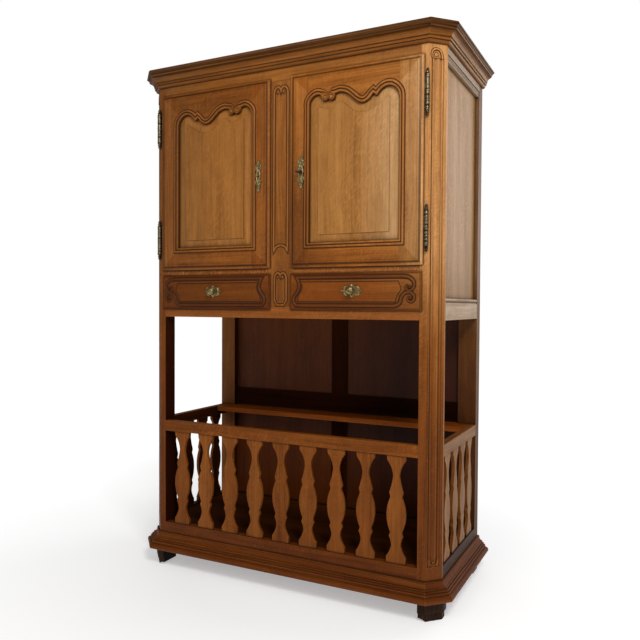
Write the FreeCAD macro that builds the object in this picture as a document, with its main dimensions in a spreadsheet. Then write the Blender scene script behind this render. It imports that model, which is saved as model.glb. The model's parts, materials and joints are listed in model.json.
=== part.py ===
import FreeCAD, Part
import math
import os
import Sketcher
from FreeCAD import Placement, Rotation, Vector

# Oak cupboard on a tall open stand, with a balustered gallery round its foot.
# X runs to the right, Y to the back and Z up. The origin is the middle of the
# footprint on the floor. All lengths are in millimetres.

# Driving dimensions
SIZES = [
    # Outer form
    ("body_width", 1194.0),
    ("body_depth", 528.0),
    ("corner_cant", 45.0),
    ("rear_overhang", 5.0),
    ("cornice_height", 63.0),
    ("cornice_projection", 45.0),
    ("base_height", 63.0),
    ("base_projection", 45.0),
    ("feet_height", 69.0),
    ("top_board_thickness", 16.0),
    ("top_board_recess", 2.0),
    # Posts and rails
    ("post_width", 71.0),
    ("front_post_depth", 57.0),
    ("rear_post_depth", 48.0),
    ("rail_thickness", 26.0),
    ("tenon_thickness", 9.0),
    ("tenon_length", 28.0),
    ("side_tenon_length", 14.0),
    ("tenon_shoulder", 6.0),
    ("plinth_rail_rise", 11.0),
    ("plinth_rail_height", 93.0),
    ("baluster_height", 365.0),
    ("gallery_rail_height", 41.0),
    ("stand_opening_height", 412.0),
    ("lower_rail_height", 42.0),
    ("drawer_opening_height", 107.0),
    ("middle_rail_height", 44.0),
    ("door_opening_height", 658.0),
    ("frieze_rail_height", 90.0),
    ("muntin_width", 108.0),
    ("side_lower_rail_height", 74.0),
    ("side_top_rail_height", 91.0),
    # Carved strip on the canted corners
    ("strip_margin", 8.0),
    ("strip_groove", 4.0),
    ("strip_bead", 7.0),
    ("strip_depth", 3.0),
    ("strip_field_rise", 1.8),
    ("strip_foot_margin", 5.0),
    ("strip_head_margin", 90.0),
    # Panels
    ("side_panel_recess", 14.5),
    ("side_panel_thickness", 10.0),
    ("groove_depth", 9.0),
    ("panel_clearance", 0.3),
    ("side_bead_height", 12.0),
    ("side_reed_height", 7.0),
    ("side_moulding_rise", 3.5),
    # Boards inside
    ("floor_thickness", 18.0),
    ("gallery_floor_drop", 6.0),
    ("shelf_thickness", 18.0),
    ("shelf_height", 315.0),
    ("shelf_front_gap", 4.0),
    ("board_end_gap", 1.0),
    ("cleat_height", 24.0),
    ("cleat_thickness", 14.0),
    # Back
    ("back_rail_thickness", 22.0),
    ("back_inset", 6.0),
    ("back_panel_thickness", 9.0),
    ("back_stile_width", 72.0),
    ("back_bottom_rail_height", 93.0),
    ("back_middle_rail_rise", 6.0),
    ("back_middle_rail_height", 73.0),
    ("back_floor_rail_height", 84.0),
    ("back_top_rail_height", 92.0),
    # Ledge along the back of the gallery
    ("ledge_thickness", 20.0),
    ("ledge_depth", 100.0),
    ("ledge_nosing", 8.0),
    # Balusters sawn from boards
    ("baluster_thickness", 12.0),
    ("baluster_setback", 5.0),
    ("baluster_half_width", 34.0),
    ("baluster_tongue_length", 7.0),
    ("baluster_tongue_width", 40.0),
    # Doors
    ("lip_overlap", 12.0),
    ("lip_gap", 0.4),
    ("door_clearance", 1.5),
    ("door_proud", 11.0),
    ("door_inside", 17.0),
    ("door_lock_stile_width", 76.0),
    ("door_hinge_stile_width", 82.0),
    ("door_bottom_rail_height", 85.0),
    ("door_curve_top", 82.0),
    ("door_curve_depth", 72.0),
    ("door_tongue_thickness", 7.0),
    ("door_tongue_back", 8.0),
    ("door_field_margin", 37.0),
    ("door_field_foot_margin", 29.0),
    ("door_field_step", 2.0),
    ("door_field_recess", 4.0),
    ("door_field_gap", 1.2),
    ("door_field_rise", 50.0),
    ("door_field_drop", 84.0),
    ("edge_mould_width", 22.0),
    ("edge_mould_start", 4.5),
    ("edge_mould_bead", 9.0),
    ("edge_mould_quirk", 1.2),
    # Drawers
    ("drawer_outer_lip", 8.0),
    ("drawer_clearance", 1.5),
    ("drawer_run_gap", 0.3),
    ("drawer_front_inside", 10.0),
    ("drawer_mould_width", 12.0),
    ("drawer_mould_bead", 5.0),
    ("drawer_side_height", 92.0),
    ("drawer_side_thickness", 12.0),
    ("drawer_back_room", 70.0),
    ("drawer_bottom_thickness", 7.0),
    ("drawer_bottom_rise", 8.0),
    ("drawer_groove_depth", 5.0),
    ("runner_height", 14.0),
    ("runner_width", 30.0),
    ("guide_height", 22.0),
    ("guide_gap", 0.5),
    # Hinges
    ("hinge_axis_offset", 11.3),
    ("hinge_axis_forward", 8.0),
    ("hinge_radius", 6.8),
    ("hinge_barrel_length", 58.0),
    ("hinge_finial_length", 20.0),
    ("hinge_knuckle_gap", 0.5),
    ("hinge_pin_radius", 3.5),
    ("hinge_pin_clearance", 0.05),
    ("hinge_pin_length", 40.0),
    ("hinge_leaf_thickness", 2.6),
    ("hinge_leaf_depth", 26.0),
    ("hinge_leaf_length", 50.0),
    ("hinge_leaf_clearance", 0.1),
    ("hinge_leaf_setback", 5.4),
    ("upper_hinge_drop", 115.0),
    ("lower_hinge_rise", 107.0),
    # Locks and key
    ("lock_axis_offset", 88.0),
    ("lock_rise", 322.0),
    ("lock_case_width", 60.0),
    ("lock_case_height", 84.0),
    ("lock_case_depth", 14.0),
    ("lock_case_wall", 1.6),
    ("bolt_height", 18.0),
    ("bolt_thickness", 4.0),
    ("bolt_length", 44.0),
    ("bolt_throw", 10.0),
    ("bolt_clearance", 0.3),
    ("bolt_rise", 16.0),
    ("key_radius", 2.6),
    ("key_hole_radius", 3.4),
    ("key_collar_radius", 4.6),
    ("key_collar_length", 3.0),
    ("key_reach", 9.5),
    ("key_bit_length", 9.0),
    ("key_bit_width", 2.4),
    ("key_bit_thickness", 2.2),
    ("key_bow_radius", 9.5),
    ("key_bow_wire", 2.0),
    ("key_neck_length", 3.0),
    ("escutcheon_thickness", 1.8),
    ("escutcheon_height", 116.0),
    ("escutcheon_width", 28.0),
    # Drawer knobs
    ("knob_rise", 56.0),
    ("knob_plate_width", 84.0),
    ("knob_plate_height", 46.0),
    ("knob_plate_thickness", 1.8),
    ("knob_radius", 15.5),
    ("knob_neck_radius", 5.0),
    ("knob_neck_length", 9.0),
    ("knob_reach", 26.0),
    # Feet
    ("foot_width", 76.0),
    ("foot_depth", 80.0),
    ("foot_outset", 9.0),
    ("foot_step", 6.0),
    ("foot_step_height", 27.0),
    ("rear_foot_width", 62.0),
    # Cutting tools run past the wood by this much
    ("overrun", 10.0),
]

BALUSTERS_ACROSS = 9
BALUSTERS_DEEP = 4

DOC = FreeCAD.newDocument("cupboard")
SHEET = DOC.addObject("Spreadsheet::Sheet", "sizes")


class Size:
    """A length that carries the sheet expression it comes from."""

    def __init__(self, value, text):
        self.value = float(value)
        self.text = text

    def __add__(self, other):
        return Size(self.value + number(other), f"({self.text} + {words(other)})")

    def __radd__(self, other):
        return Size(number(other) + self.value, f"({words(other)} + {self.text})")

    def __sub__(self, other):
        return Size(self.value - number(other), f"({self.text} - {words(other)})")

    def __rsub__(self, other):
        return Size(number(other) - self.value, f"({words(other)} - {self.text})")

    def __mul__(self, other):
        return Size(self.value * number(other), f"({self.text} * {words(other)})")

    __rmul__ = __mul__

    def __truediv__(self, other):
        return Size(self.value / number(other), f"({self.text} / {words(other)})")

    def __neg__(self):
        return Size(-self.value, f"(-{self.text})")


def number(size):
    return size.value if isinstance(size, Size) else float(size)


def words(size):
    return size.text if isinstance(size, Size) else repr(float(size))


def read_sheet():
    """Write the driving dimensions into the sheet and read them back as Sizes."""
    for row, (name, value) in enumerate(SIZES, start=1):
        SHEET.set(f"A{row}", name)
        SHEET.set(f"B{row}", str(value))
        SHEET.setAlias(f"B{row}", name)
    DOC.recompute()
    return {name: Size(SHEET.get(name), f"sizes.{name}") for name, value in SIZES}


class Named:
    """The sizes as attributes, so that z.shelf_height reads the sheet."""

    def __init__(self, table):
        self.__dict__.update(table)


z = Named(read_sheet())

# Places that follow from the driving dimensions
MITRE_SHARE = math.tan(math.radians(22.5))
HALF = z.body_width / 2
FRONT = z.cornice_projection - (z.body_depth + z.rear_overhang + z.cornice_projection) / 2
REAR = FRONT + z.body_depth
INNER = HALF - z.post_width
FRONT_POST_BACK = FRONT + z.front_post_depth
REAR_POST_FRONT = REAR - z.rear_post_depth
SIDE_RAIL_IN = HALF - z.rail_thickness
FRONT_RAIL_BACK = FRONT + z.rail_thickness
PANEL_OUT = HALF - z.side_panel_recess
PANEL_IN = PANEL_OUT - z.side_panel_thickness
BACK_FACE = REAR - z.back_inset
BACK_FRONT = BACK_FACE - z.back_rail_thickness
MUNTIN = z.muntin_width / 2

# Heights, stacked from the feet to the cornice
PLINTH_BOTTOM = z.feet_height + z.plinth_rail_rise
PLINTH_TOP = PLINTH_BOTTOM + z.plinth_rail_height
GALLERY_BOTTOM = PLINTH_TOP + z.baluster_height
GALLERY_TOP = GALLERY_BOTTOM + z.gallery_rail_height
STAND_TOP = GALLERY_TOP + z.stand_opening_height
DRAWER_BOTTOM = STAND_TOP + z.lower_rail_height
DRAWER_TOP = DRAWER_BOTTOM + z.drawer_opening_height
DOOR_BOTTOM = DRAWER_TOP + z.middle_rail_height
DOOR_TOP = DOOR_BOTTOM + z.door_opening_height
POST_TOP = DOOR_TOP + z.frieze_rail_height
OVERALL_TOP = POST_TOP + z.top_board_thickness + z.top_board_recess
LOCK_HEIGHT = DOOR_BOTTOM + z.lock_rise

# Turns an upright axis so that it points to the front
FORWARD = Rotation(Vector(1, 0, 0), 90)

NODES = {}


def bind(thing, path, size):
    """Tie a property to the sheet, or set it where it is a plain number."""
    if isinstance(size, Size):
        thing.setExpression(path, size.text)
    elif size:
        thing.setExpression(path, repr(float(size)))


def keep(name, thing):
    """Name a finished sub-part, which gives its node and its file."""
    thing.Label = name
    NODES[name] = thing
    return thing


def box(name, x, y, h):
    """A board between the lower and upper places of each axis."""
    thing = DOC.addObject("Part::Box", name)
    for side, span in (("Length", x), ("Width", y), ("Height", h)):
        bind(thing, side, span[1] - span[0])
    for axis, span in zip("xyz", (x, y, h)):
        bind(thing, f"Placement.Base.{axis}", span[0])
    return thing


def cylinder(name, radius, length, base, turn=None):
    """A round bar from its base, turned from upright where turn is given."""
    thing = DOC.addObject("Part::Cylinder", name)
    thing.Placement = Placement(Vector(), turn or Rotation())
    bind(thing, "Radius", radius)
    bind(thing, "Height", length)
    for axis, place in zip("xyz", base):
        bind(thing, f"Placement.Base.{axis}", place)
    return thing


def group(name, things):
    thing = DOC.addObject("Part::Compound", name)
    thing.Links = list(things)
    return thing


def fuse(name, things):
    thing = DOC.addObject("Part::MultiFuse", name)
    thing.Shapes = list(things)
    return thing


def common(name, things):
    thing = DOC.addObject("Part::MultiCommon", name)
    thing.Shapes = list(things)
    return thing


def cut(name, base, tools):
    thing = DOC.addObject("Part::Cut", name)
    thing.Base = base
    thing.Tool = tools[0] if len(tools) == 1 else group(f"{name}_tools", tools)
    return thing


def side_span(side, low, high):
    """The same span on the right, or mirrored on the left."""
    return (low, high) if side > 0 else (-high, -low)


def hand(side):
    return "right" if side > 0 else "left"


def origin_plane(body, role):
    for feature in body.Origin.OriginFeatures:
        if feature.Role == role:
            return feature


def outline(sketch, points):
    """Close an outline through the points. A third entry bows the edge that
    leaves its point by that much to the left of its direction."""
    edges = []
    ends = []
    corners = [Vector(number(p[0]), number(p[1]), 0) for p in points]
    for i, start in enumerate(corners):
        end = corners[(i + 1) % len(corners)]
        bow = number(points[i][2]) if len(points[i]) > 2 else 0
        if not bow:
            edges.append(Part.LineSegment(start, end))
            ends.append((1, 2))
            continue
        along = (end - start).normalize()
        middle = (start + end) / 2 + Vector(-along.y, along.x, 0) * bow
        # Arcs are drawn anticlockwise, so one that bows to the left is drawn backwards
        edges.append(Part.Arc(end, middle, start) if bow > 0 else Part.Arc(start, middle, end))
        ends.append((2, 1) if bow > 0 else (1, 2))
    sketch.addGeometry(edges, False)
    for i in range(len(corners)):
        j = (i + 1) % len(corners)
        sketch.addConstraint(Sketcher.Constraint("Coincident", i, ends[i][1], j, ends[j][0]))
    for i, point in enumerate(points):
        for kind, size in (("DistanceX", point[0]), ("DistanceY", point[1])):
            rule = Sketcher.Constraint(kind, -1, 1, i, ends[i][0], number(size))
            place = sketch.addConstraint(rule)
            if isinstance(size, Size):
                sketch.setExpression(f"Constraints[{place}]", size.text)


PLANES = {"Z": "XY_Plane", "Y": "XZ_Plane", "X": "YZ_Plane"}


def prism(name, axis, span, points):
    """A body padded along an axis from an outline. Along Z the points are
    (x, y), along Y they are (x, z) and along X they are (y, z)."""
    body = DOC.addObject("PartDesign::Body", name)
    sketch = body.newObject("Sketcher::SketchObject", f"{name}_outline")
    sketch.AttachmentSupport = (origin_plane(body, PLANES[axis]), [""])
    sketch.MapMode = "FlatFace"
    start = -span[1] if axis == "Y" else span[0]
    bind(sketch, ".AttachmentOffset.Base.z", start)
    outline(sketch, points)
    pad = body.newObject("PartDesign::Pad", f"{name}_pad")
    pad.Profile = (sketch, [""])
    bind(pad, "Length", span[1] - span[0])
    body.Tip = pad
    return body


def turned(name, profile, base, upright=True):
    """A turned body from (radius, height) points. It stands on its base
    upright, or lies with its height pointing to the front."""
    body = DOC.addObject("PartDesign::Body", name)
    sketch = body.newObject("Sketcher::SketchObject", f"{name}_outline")
    sketch.AttachmentSupport = (origin_plane(body, "XZ_Plane"), [""])
    sketch.MapMode = "FlatFace"
    outline(sketch, profile)
    turn = body.newObject("PartDesign::Revolution", f"{name}_turn")
    turn.Profile = (sketch, [""])
    turn.ReferenceAxis = (sketch, ["V_Axis"])
    turn.Angle = 360
    body.Tip = turn
    body.Placement = Placement(Vector(), Rotation() if upright else FORWARD)
    for axis, place in zip("xyz", base):
        bind(body, f"Placement.Base.{axis}", place)
    return body


# Plan of the carcass with its canted front corners, from rear left round the front
def plan(rear):
    return [
        (-HALF, rear),
        (-HALF, FRONT + z.corner_cant),
        (-HALF + z.corner_cant, FRONT),
        (HALF - z.corner_cant, FRONT),
        (HALF, FRONT + z.corner_cant),
        (HALF, rear),
    ]


# Posts

def cant_strip(side):
    """The wood that is cut away along a canted corner: a sunk field between
    two beads, drawn across the cant from its front arris."""
    root = math.sqrt(2)
    width = z.corner_cant * root
    edge = z.strip_margin
    bead = edge + z.strip_groove
    field = bead + z.strip_bead
    across = [
        (edge, -z.overrun),
        (edge, 0),
        (bead, z.strip_depth, -z.strip_bead / 2),
        (field, z.strip_depth),
        (field + z.strip_groove, z.strip_depth, -z.strip_field_rise),
        (width - field - z.strip_groove, z.strip_depth),
        (width - field, z.strip_depth, -z.strip_bead / 2),
        (width - bead, z.strip_depth),
        (width - edge, 0),
        (width - edge, -z.overrun),
    ]
    points = []
    for entry in across:
        along = entry[0] / root
        inward = entry[1] / root if entry[1] else 0
        x = (HALF - z.corner_cant + along - inward) * side
        y = FRONT + along + inward
        bow = [entry[2] * side] if len(entry) > 2 else []
        points.append((x, y, *bow))
    h = (PLINTH_TOP + z.strip_foot_margin, POST_TOP - z.strip_head_margin)
    return prism(f"{hand(side)}_strip_cut", "Z", h, points)


def front_post_blank(side):
    points = [
        (INNER * side, FRONT),
        ((HALF - z.corner_cant) * side, FRONT),
        (HALF * side, FRONT + z.corner_cant),
        (HALF * side, FRONT_POST_BACK),
        (INNER * side, FRONT_POST_BACK),
    ]
    return prism(f"{hand(side)}_post_blank", "Z", (z.feet_height, POST_TOP), points)


def rear_post_blank(side):
    return box(
        f"rear_{hand(side)}_post_blank",
        side_span(side, INNER, HALF),
        (REAR_POST_FRONT, REAR),
        (z.feet_height, POST_TOP),
    )


# Rails with their tenons. A rail across the front runs along X, and a rail at
# the side runs along Y.

def tenon_x(name, side, y, h):
    """Tenon of a cross rail in the inner face of a post."""
    middle = (y[0] + y[1]) / 2
    return box(
        f"{name}_{hand(side)}_tenon",
        side_span(side, INNER, INNER + z.tenon_length),
        (middle - z.tenon_thickness / 2, middle + z.tenon_thickness / 2),
        (h[0] + z.tenon_shoulder, h[1] - z.tenon_shoulder),
    )


def tenon_y(name, face, side, direction, h):
    """Tenon of a side rail in the front or rear post."""
    middle = (SIDE_RAIL_IN + HALF) / 2
    x = side_span(side, middle - z.tenon_thickness / 2, middle + z.tenon_thickness / 2)
    reach = z.side_tenon_length
    y = (face, face + reach) if direction > 0 else (face - reach, face)
    return box(name, x, y, (h[0] + z.tenon_shoulder, h[1] - z.tenon_shoulder))


POST_CUTS = {("front", 1): [], ("front", -1): [], ("rear", 1): [], ("rear", -1): []}


def cross_rail(name, row, y, h, left=None, right=None):
    """A rail between the two posts of a row, or from the muntin to a post."""
    ends = [side for side, stop in ((-1, left), (1, right)) if stop is None]
    low = -INNER if left is None else left
    high = INNER if right is None else right
    parts = [box(f"{name}_body", (low, high), y, h)]
    for side in ends:
        tenon = tenon_x(name, side, y, h)
        POST_CUTS[(row, side)].append(tenon)
        parts.append(tenon)
    return parts


def side_rail(name, side, h, profile=None):
    """A rail between the front and rear posts of one side."""
    body = profile or box(
        f"{name}_{hand(side)}_body",
        side_span(side, SIDE_RAIL_IN, HALF),
        (FRONT_POST_BACK, REAR_POST_FRONT),
        h,
    )
    front = tenon_y(f"{name}_{hand(side)}_front_tenon", FRONT_POST_BACK, side, -1, h)
    rear = tenon_y(f"{name}_{hand(side)}_rear_tenon", REAR_POST_FRONT, side, 1, h)
    POST_CUTS[("front", side)].append(front)
    POST_CUTS[("rear", side)].append(rear)
    return [body, front, rear]


# Balusters

BALUSTER_SHARES = [
    # height up the baluster, half width, bow of the edge above, all as shares
    (0.000, 1.00, 0.0),
    (0.060, 1.00, -0.07),
    (0.165, 0.48, -0.06),
    (0.248, 0.73, 0.0),
    (0.286, 0.59, 0.41),
    (0.612, 0.59, 0.0),
    (0.654, 0.73, -0.04),
    (0.800, 0.33, -0.16),
    (0.948, 0.95, 0.0),
    (1.000, 1.00, 0.0),
]


def baluster_outline(centre, bottom, top):
    """Right edge upwards, then the left edge down again."""
    height = top - bottom
    half = z.baluster_half_width
    right = [(centre + half * w, bottom + height * h, -(half * bow)) for h, w, bow in BALUSTER_SHARES]
    left = []
    for i in range(len(BALUSTER_SHARES) - 1, -1, -1):
        h, w, bow = BALUSTER_SHARES[i]
        # Going down, the edge that leaves a point is the one that came up to it
        below = BALUSTER_SHARES[i - 1][2] if i else 0
        left.append((centre - half * w, bottom + height * h, -(half * below)))
    return right + left


def baluster_run(name, axis, face, first, last, count):
    """A row of balusters with equal gaps between two posts. face is the span
    of their thickness. Returns the balusters and the tools for their mortises."""
    bottom = PLINTH_TOP
    top = GALLERY_BOTTOM
    gap = (last - first - z.baluster_half_width * 2 * count) / (count + 1)
    pieces = []
    tongues = []
    for i in range(count):
        centre = first + gap * (i + 1) + z.baluster_half_width * (2 * i + 1)
        board = prism(f"{name}_{i + 1}", axis, face, baluster_outline(centre, bottom, top))
        across = (centre - z.baluster_tongue_width / 2, centre + z.baluster_tongue_width / 2)
        x, y = (across, face) if axis == "Y" else (face, across)
        feet = []
        for place, low, high in (
            ("foot", bottom - z.baluster_tongue_length, bottom),
            ("head", top, top + z.baluster_tongue_length),
        ):
            feet.append(box(f"{name}_{i + 1}_{place}", x, y, (low, high)))
        tongues += feet
        pieces.append(fuse(f"{name}_{i + 1}_whole", [board] + feet))
    return pieces, tongues


# Mouldings that run round the front, the cants and the sides

def moulding(name, profile, low, high, reach):
    """Five mitred lengths of one moulding. The profile lists (projection,
    height, bow) points and reach is its greatest projection."""
    corners = plan(REAR + z.rear_overhang)
    out = reach + z.overrun
    near = MITRE_SHARE
    mitres = [(-1, 0), (-1, -near), (-near, -1), (near, -1), (1, -near), (1, 0)]
    lengths = [z.body_depth, z.corner_cant * 2, z.body_width, z.corner_cant * 2, z.body_depth]
    labels = ["left_side", "left_cant", "front", "right_cant", "right_side"]
    angles = [270, 315, 0, 45, 90]
    pieces = []
    for i, label in enumerate(labels):
        a, b = corners[i], corners[i + 1]
        wedge = prism(
            f"{name}_{label}_wedge",
            "Z",
            (low, high),
            [
                a,
                b,
                (b[0] + out * mitres[i + 1][0], b[1] + out * mitres[i + 1][1]),
                (a[0] + out * mitres[i][0], a[1] + out * mitres[i][1]),
            ],
        )
        span = (-out, lengths[i] + out)
        run = prism(f"{name}_{label}_run", "X", span, [(-q, h, *bow) for q, h, *bow in profile])
        run.Placement = Placement(Vector(), Rotation(Vector(0, 0, 1), angles[i]))
        bind(run, "Placement.Base.x", a[0])
        bind(run, "Placement.Base.y", a[1])
        pieces.append(common(f"{name}_{label}", [wedge, run]))
    return group(name, pieces)


CORNICE_SHARES = [
    # projection and height as shares, and the bow of the edge to the next point
    (0.07, 0.00, 0.035),
    (0.24, 0.15, 0.0),
    (0.24, 0.18, 0.0),
    (0.33, 0.18, 0.015),
    (0.33, 0.31, 0.0),
    (0.40, 0.33, 0.0),
    (0.40, 0.36, -0.055),
    (0.72, 0.61, 0.0),
    (0.72, 0.65, 0.0),
    (0.80, 0.65, 0.0),
    (0.80, 0.74, 0.0),
    (0.84, 0.75, -0.018),
    (0.97, 0.84, 0.0),
    (1.00, 0.84, 0.0),
    (1.00, 0.91, 0.0),
    (0.93, 1.00, 0.0),
    (0.00, 1.00, 0.0),
    (0.00, 0.00, 0.0),
]

BASE_SHARES = [
    (0.74, 0.00, 0.155),
    (0.75, 0.34, 0.0),
    (0.69, 0.36, 0.0),
    (0.69, 0.40, 0.035),
    (0.60, 0.49, 0.0),
    (0.56, 0.50, 0.035),
    (0.48, 0.59, 0.0),
    (0.44, 0.60, 0.0),
    (0.44, 0.68, 0.0),
    (0.38, 0.70, -0.055),
    (0.17, 0.92, 0.0),
    (0.14, 0.94, 0.0),
    (0.14, 1.00, 0.0),
    (0.00, 1.00, 0.0),
    (0.00, 0.00, 0.0),
]


def moulding_profile(shares, reach, low, height):
    return [(reach * q, low + height * h, height * bow) for q, h, bow in shares]


# Slabs with a moulded lip round their front edge, used for doors and drawers

def lipped_slab(name, x, h, proud, inside, inner_x, inner_h, mould, bead):
    """Front board whose lip laps the frame. x and h are the lip's spans,
    inner_x and inner_h those of the part that enters the opening."""
    face = FRONT - proud
    start = FRONT - z.edge_mould_start
    lip_back = FRONT - z.lip_gap
    back = FRONT + inside
    step = start - z.edge_mould_quirk * 3

    def across(span, inner):
        low, high = span
        return [
            (low, lip_back, 0),
            (low, start, z.edge_mould_quirk * 1.4),
            (low + bead, step, 0),
            (low + bead, step + z.edge_mould_quirk, -z.edge_mould_quirk),
            (low + mould, face, 0),
            (high - mould, face, -z.edge_mould_quirk),
            (high - bead, step + z.edge_mould_quirk, 0),
            (high - bead, step, z.edge_mould_quirk * 1.4),
            (high, start, 0),
            (high, lip_back, 0),
            (inner[1], lip_back, 0),
            (inner[1], back, 0),
            (inner[0], back, 0),
            (inner[0], lip_back, 0),
        ]

    upright = prism(f"{name}_upright_run", "Z", h, across(x, inner_x))
    level = prism(f"{name}_level_run", "X", x, [(y, v, -bow) for v, y, bow in across(h, inner_h)])
    return common(f"{name}_slab", [upright, level])


def build_carcass():
    front_y = (FRONT, FRONT_RAIL_BACK)
    rails = {
        "frieze_rail": (DOOR_TOP, POST_TOP),
        "lower_front_rail": (STAND_TOP, DRAWER_BOTTOM),
        "gallery_front_rail": (GALLERY_BOTTOM, GALLERY_TOP),
        "plinth_front_rail": (PLINTH_BOTTOM, PLINTH_TOP),
    }
    parts = {name: cross_rail(name, "front", front_y, h) for name, h in rails.items()}

    # The muntin stands between the lower rail and the frieze rail
    middle_y = ((front_y[0] + front_y[1]) - z.tenon_thickness) / 2
    thick_y = (middle_y, middle_y + z.tenon_thickness)
    wide_x = (-MUNTIN + z.tenon_shoulder, MUNTIN - z.tenon_shoulder)
    short = z.tenon_length / 2
    foot = box("muntin_foot_tenon", wide_x, thick_y, (DRAWER_BOTTOM - short, DRAWER_BOTTOM))
    head = box("muntin_head_tenon", wide_x, thick_y, (DOOR_TOP, DOOR_TOP + short))
    blank = box("muntin_blank", (-MUNTIN, MUNTIN), front_y, (DRAWER_BOTTOM, DOOR_TOP))

    # Middle rails from the muntin to each post
    middle_h = (DRAWER_TOP, DOOR_BOTTOM)
    middle = []
    middle_tenons = []
    for side in (-1, 1):
        name = f"{hand(side)}_middle_rail"
        stops = {"left": MUNTIN} if side > 0 else {"right": -MUNTIN}
        rail = cross_rail(name, "front", front_y, middle_h, **stops)
        inner = box(
            f"{name}_inner_tenon",
            side_span(side, MUNTIN - short, MUNTIN),
            thick_y,
            (middle_h[0] + z.tenon_shoulder, middle_h[1] - z.tenon_shoulder),
        )
        middle_tenons.append(inner)
        middle.append(fuse(name, rail + [inner]))
    keep("middle_rails", group("middle_rails_group", middle))

    # The lock bolts shoot into mortises in the muntin
    bolt_mortises = [bolt_mortise(side) for side in (-1, 1)]
    muntin = fuse("muntin_whole", [blank, foot, head])
    keep("centre_muntin", cut("centre_muntin_cut", muntin, middle_tenons + bolt_mortises))

    # Side rails
    side_heights = {
        "side_gallery_rail": rails["gallery_front_rail"],
        "side_plinth_rail": rails["plinth_front_rail"],
    }
    for name, h in side_heights.items():
        for side in (-1, 1):
            parts[(name, side)] = side_rail(name, side, h)
    low_h = (STAND_TOP, STAND_TOP + z.side_lower_rail_height)
    top_h = (POST_TOP - z.side_top_rail_height, POST_TOP)
    for side in (-1, 1):
        low_profile = lower_side_profile(side, low_h)
        parts[("side_lower_rail", side)] = side_rail("side_lower_rail", side, low_h, low_profile)
        top_profile = top_side_profile(side, top_h)
        parts[("side_top_rail", side)] = side_rail("side_top_rail", side, top_h, top_profile)

    # Balusters of the gallery
    setback = z.baluster_setback
    front_face = (FRONT + setback, FRONT + setback + z.baluster_thickness)
    across, across_tongues = baluster_run(
        "front_baluster", "Y", front_face, -INNER, INNER, BALUSTERS_ACROSS
    )
    keep("front_balusters", group("front_balusters_group", across))
    side_tongues = {}
    deep = []
    for side in (-1, 1):
        face = side_span(side, HALF - setback - z.baluster_thickness, HALF - setback)
        run, tongues = baluster_run(
            f"{hand(side)}_baluster", "X", face, FRONT_POST_BACK, REAR_POST_FRONT, BALUSTERS_DEEP
        )
        side_tongues[side] = tongues
        deep += run
    keep("side_balusters", group("side_balusters_group", deep))

    # Panels in the sides
    panels = []
    panel_cuts = {}
    for side in (-1, 1):
        x = side_span(side, PANEL_IN, PANEL_OUT)
        room = z.panel_clearance
        deep_x = side_span(side, PANEL_IN - room, PANEL_OUT + room)
        y = (FRONT_POST_BACK - z.groove_depth, REAR_POST_FRONT + z.groove_depth)
        h = (low_h[1] - z.groove_depth, top_h[0] + z.groove_depth)
        panels.append(box(f"{hand(side)}_side_panel", x, y, h))
        panel_cuts[side] = box(
            f"{hand(side)}_side_panel_groove",
            deep_x,
            (y[0] - room, y[1] + room),
            (h[0] - room, h[1] + room),
        )
    keep("side_panels", group("side_panels_group", panels))

    # Join the rails and cut what they take in
    for name, tenon in (("frieze_rail", head), ("lower_front_rail", foot)):
        keep(name, cut(f"{name}_cut", fuse(f"{name}_whole", parts[name]), [tenon]))
    for name in ("gallery_front_rail", "plinth_front_rail"):
        whole = fuse(f"{name}_whole", parts[name])
        keep(name, cut(f"{name}_cut", whole, across_tongues))
    for name in ("side_gallery_rail", "side_plinth_rail"):
        both = []
        for side in (-1, 1):
            whole = fuse(f"{name}_{hand(side)}_whole", parts[(name, side)])
            both.append(cut(f"{name}_{hand(side)}_cut", whole, side_tongues[side]))
        keep(f"{name}s", group(f"{name}s_group", both))
    for name in ("side_lower_rail", "side_top_rail"):
        both = []
        for side in (-1, 1):
            whole = fuse(f"{name}_{hand(side)}_whole", parts[(name, side)])
            both.append(cut(f"{name}_{hand(side)}_cut", whole, [panel_cuts[side]]))
        keep(f"{name}s", group(f"{name}s_group", both))

    build_back()

    # The posts take every tenon, the panels and the hinge leaves
    for side in (-1, 1):
        cuts = POST_CUTS[("front", side)] + [panel_cuts[side], cant_strip(side)]
        cuts += [hinge_leaf(side, level, "post", z.hinge_leaf_clearance) for level in HINGE_LEVELS]
        keep(f"front_{hand(side)}_post", cut(f"front_{hand(side)}_cut", front_post_blank(side), cuts))
        cuts = POST_CUTS[("rear", side)] + [panel_cuts[side]]
        keep(f"rear_{hand(side)}_post", cut(f"rear_{hand(side)}_cut", rear_post_blank(side), cuts))


def lower_side_profile(side, h):
    """Side rail above the open stand, with a bead along its upper edge."""
    top = h[1]
    bead = top - z.side_bead_height
    rise = z.side_moulding_rise
    points = [
        (SIDE_RAIL_IN * side, h[0]),
        (HALF * side, h[0]),
        (HALF * side, bead - rise),
        ((HALF - rise) * side, bead - rise),
        ((HALF - rise) * side, bead, -rise * side),
        ((HALF - rise) * side, top),
        (SIDE_RAIL_IN * side, top),
    ]
    return prism(f"lower_rail_{hand(side)}", "Y", (FRONT_POST_BACK, REAR_POST_FRONT), points)


def top_side_profile(side, h):
    """Upper side rail, with three reeds along its lower edge."""
    rise = z.side_moulding_rise
    reed = z.side_reed_height
    points = [(SIDE_RAIL_IN * side, h[1]), (SIDE_RAIL_IN * side, h[0])]
    for i in range(3):
        points.append(((HALF - rise) * side, h[0] + reed * i, -rise * side / 2))
    points += [
        ((HALF - rise) * side, h[0] + reed * 3),
        (HALF * side, h[0] + reed * 3),
        (HALF * side, h[1]),
    ]
    return prism(f"top_rail_{hand(side)}", "Y", (FRONT_POST_BACK, REAR_POST_FRONT), points)


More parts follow.
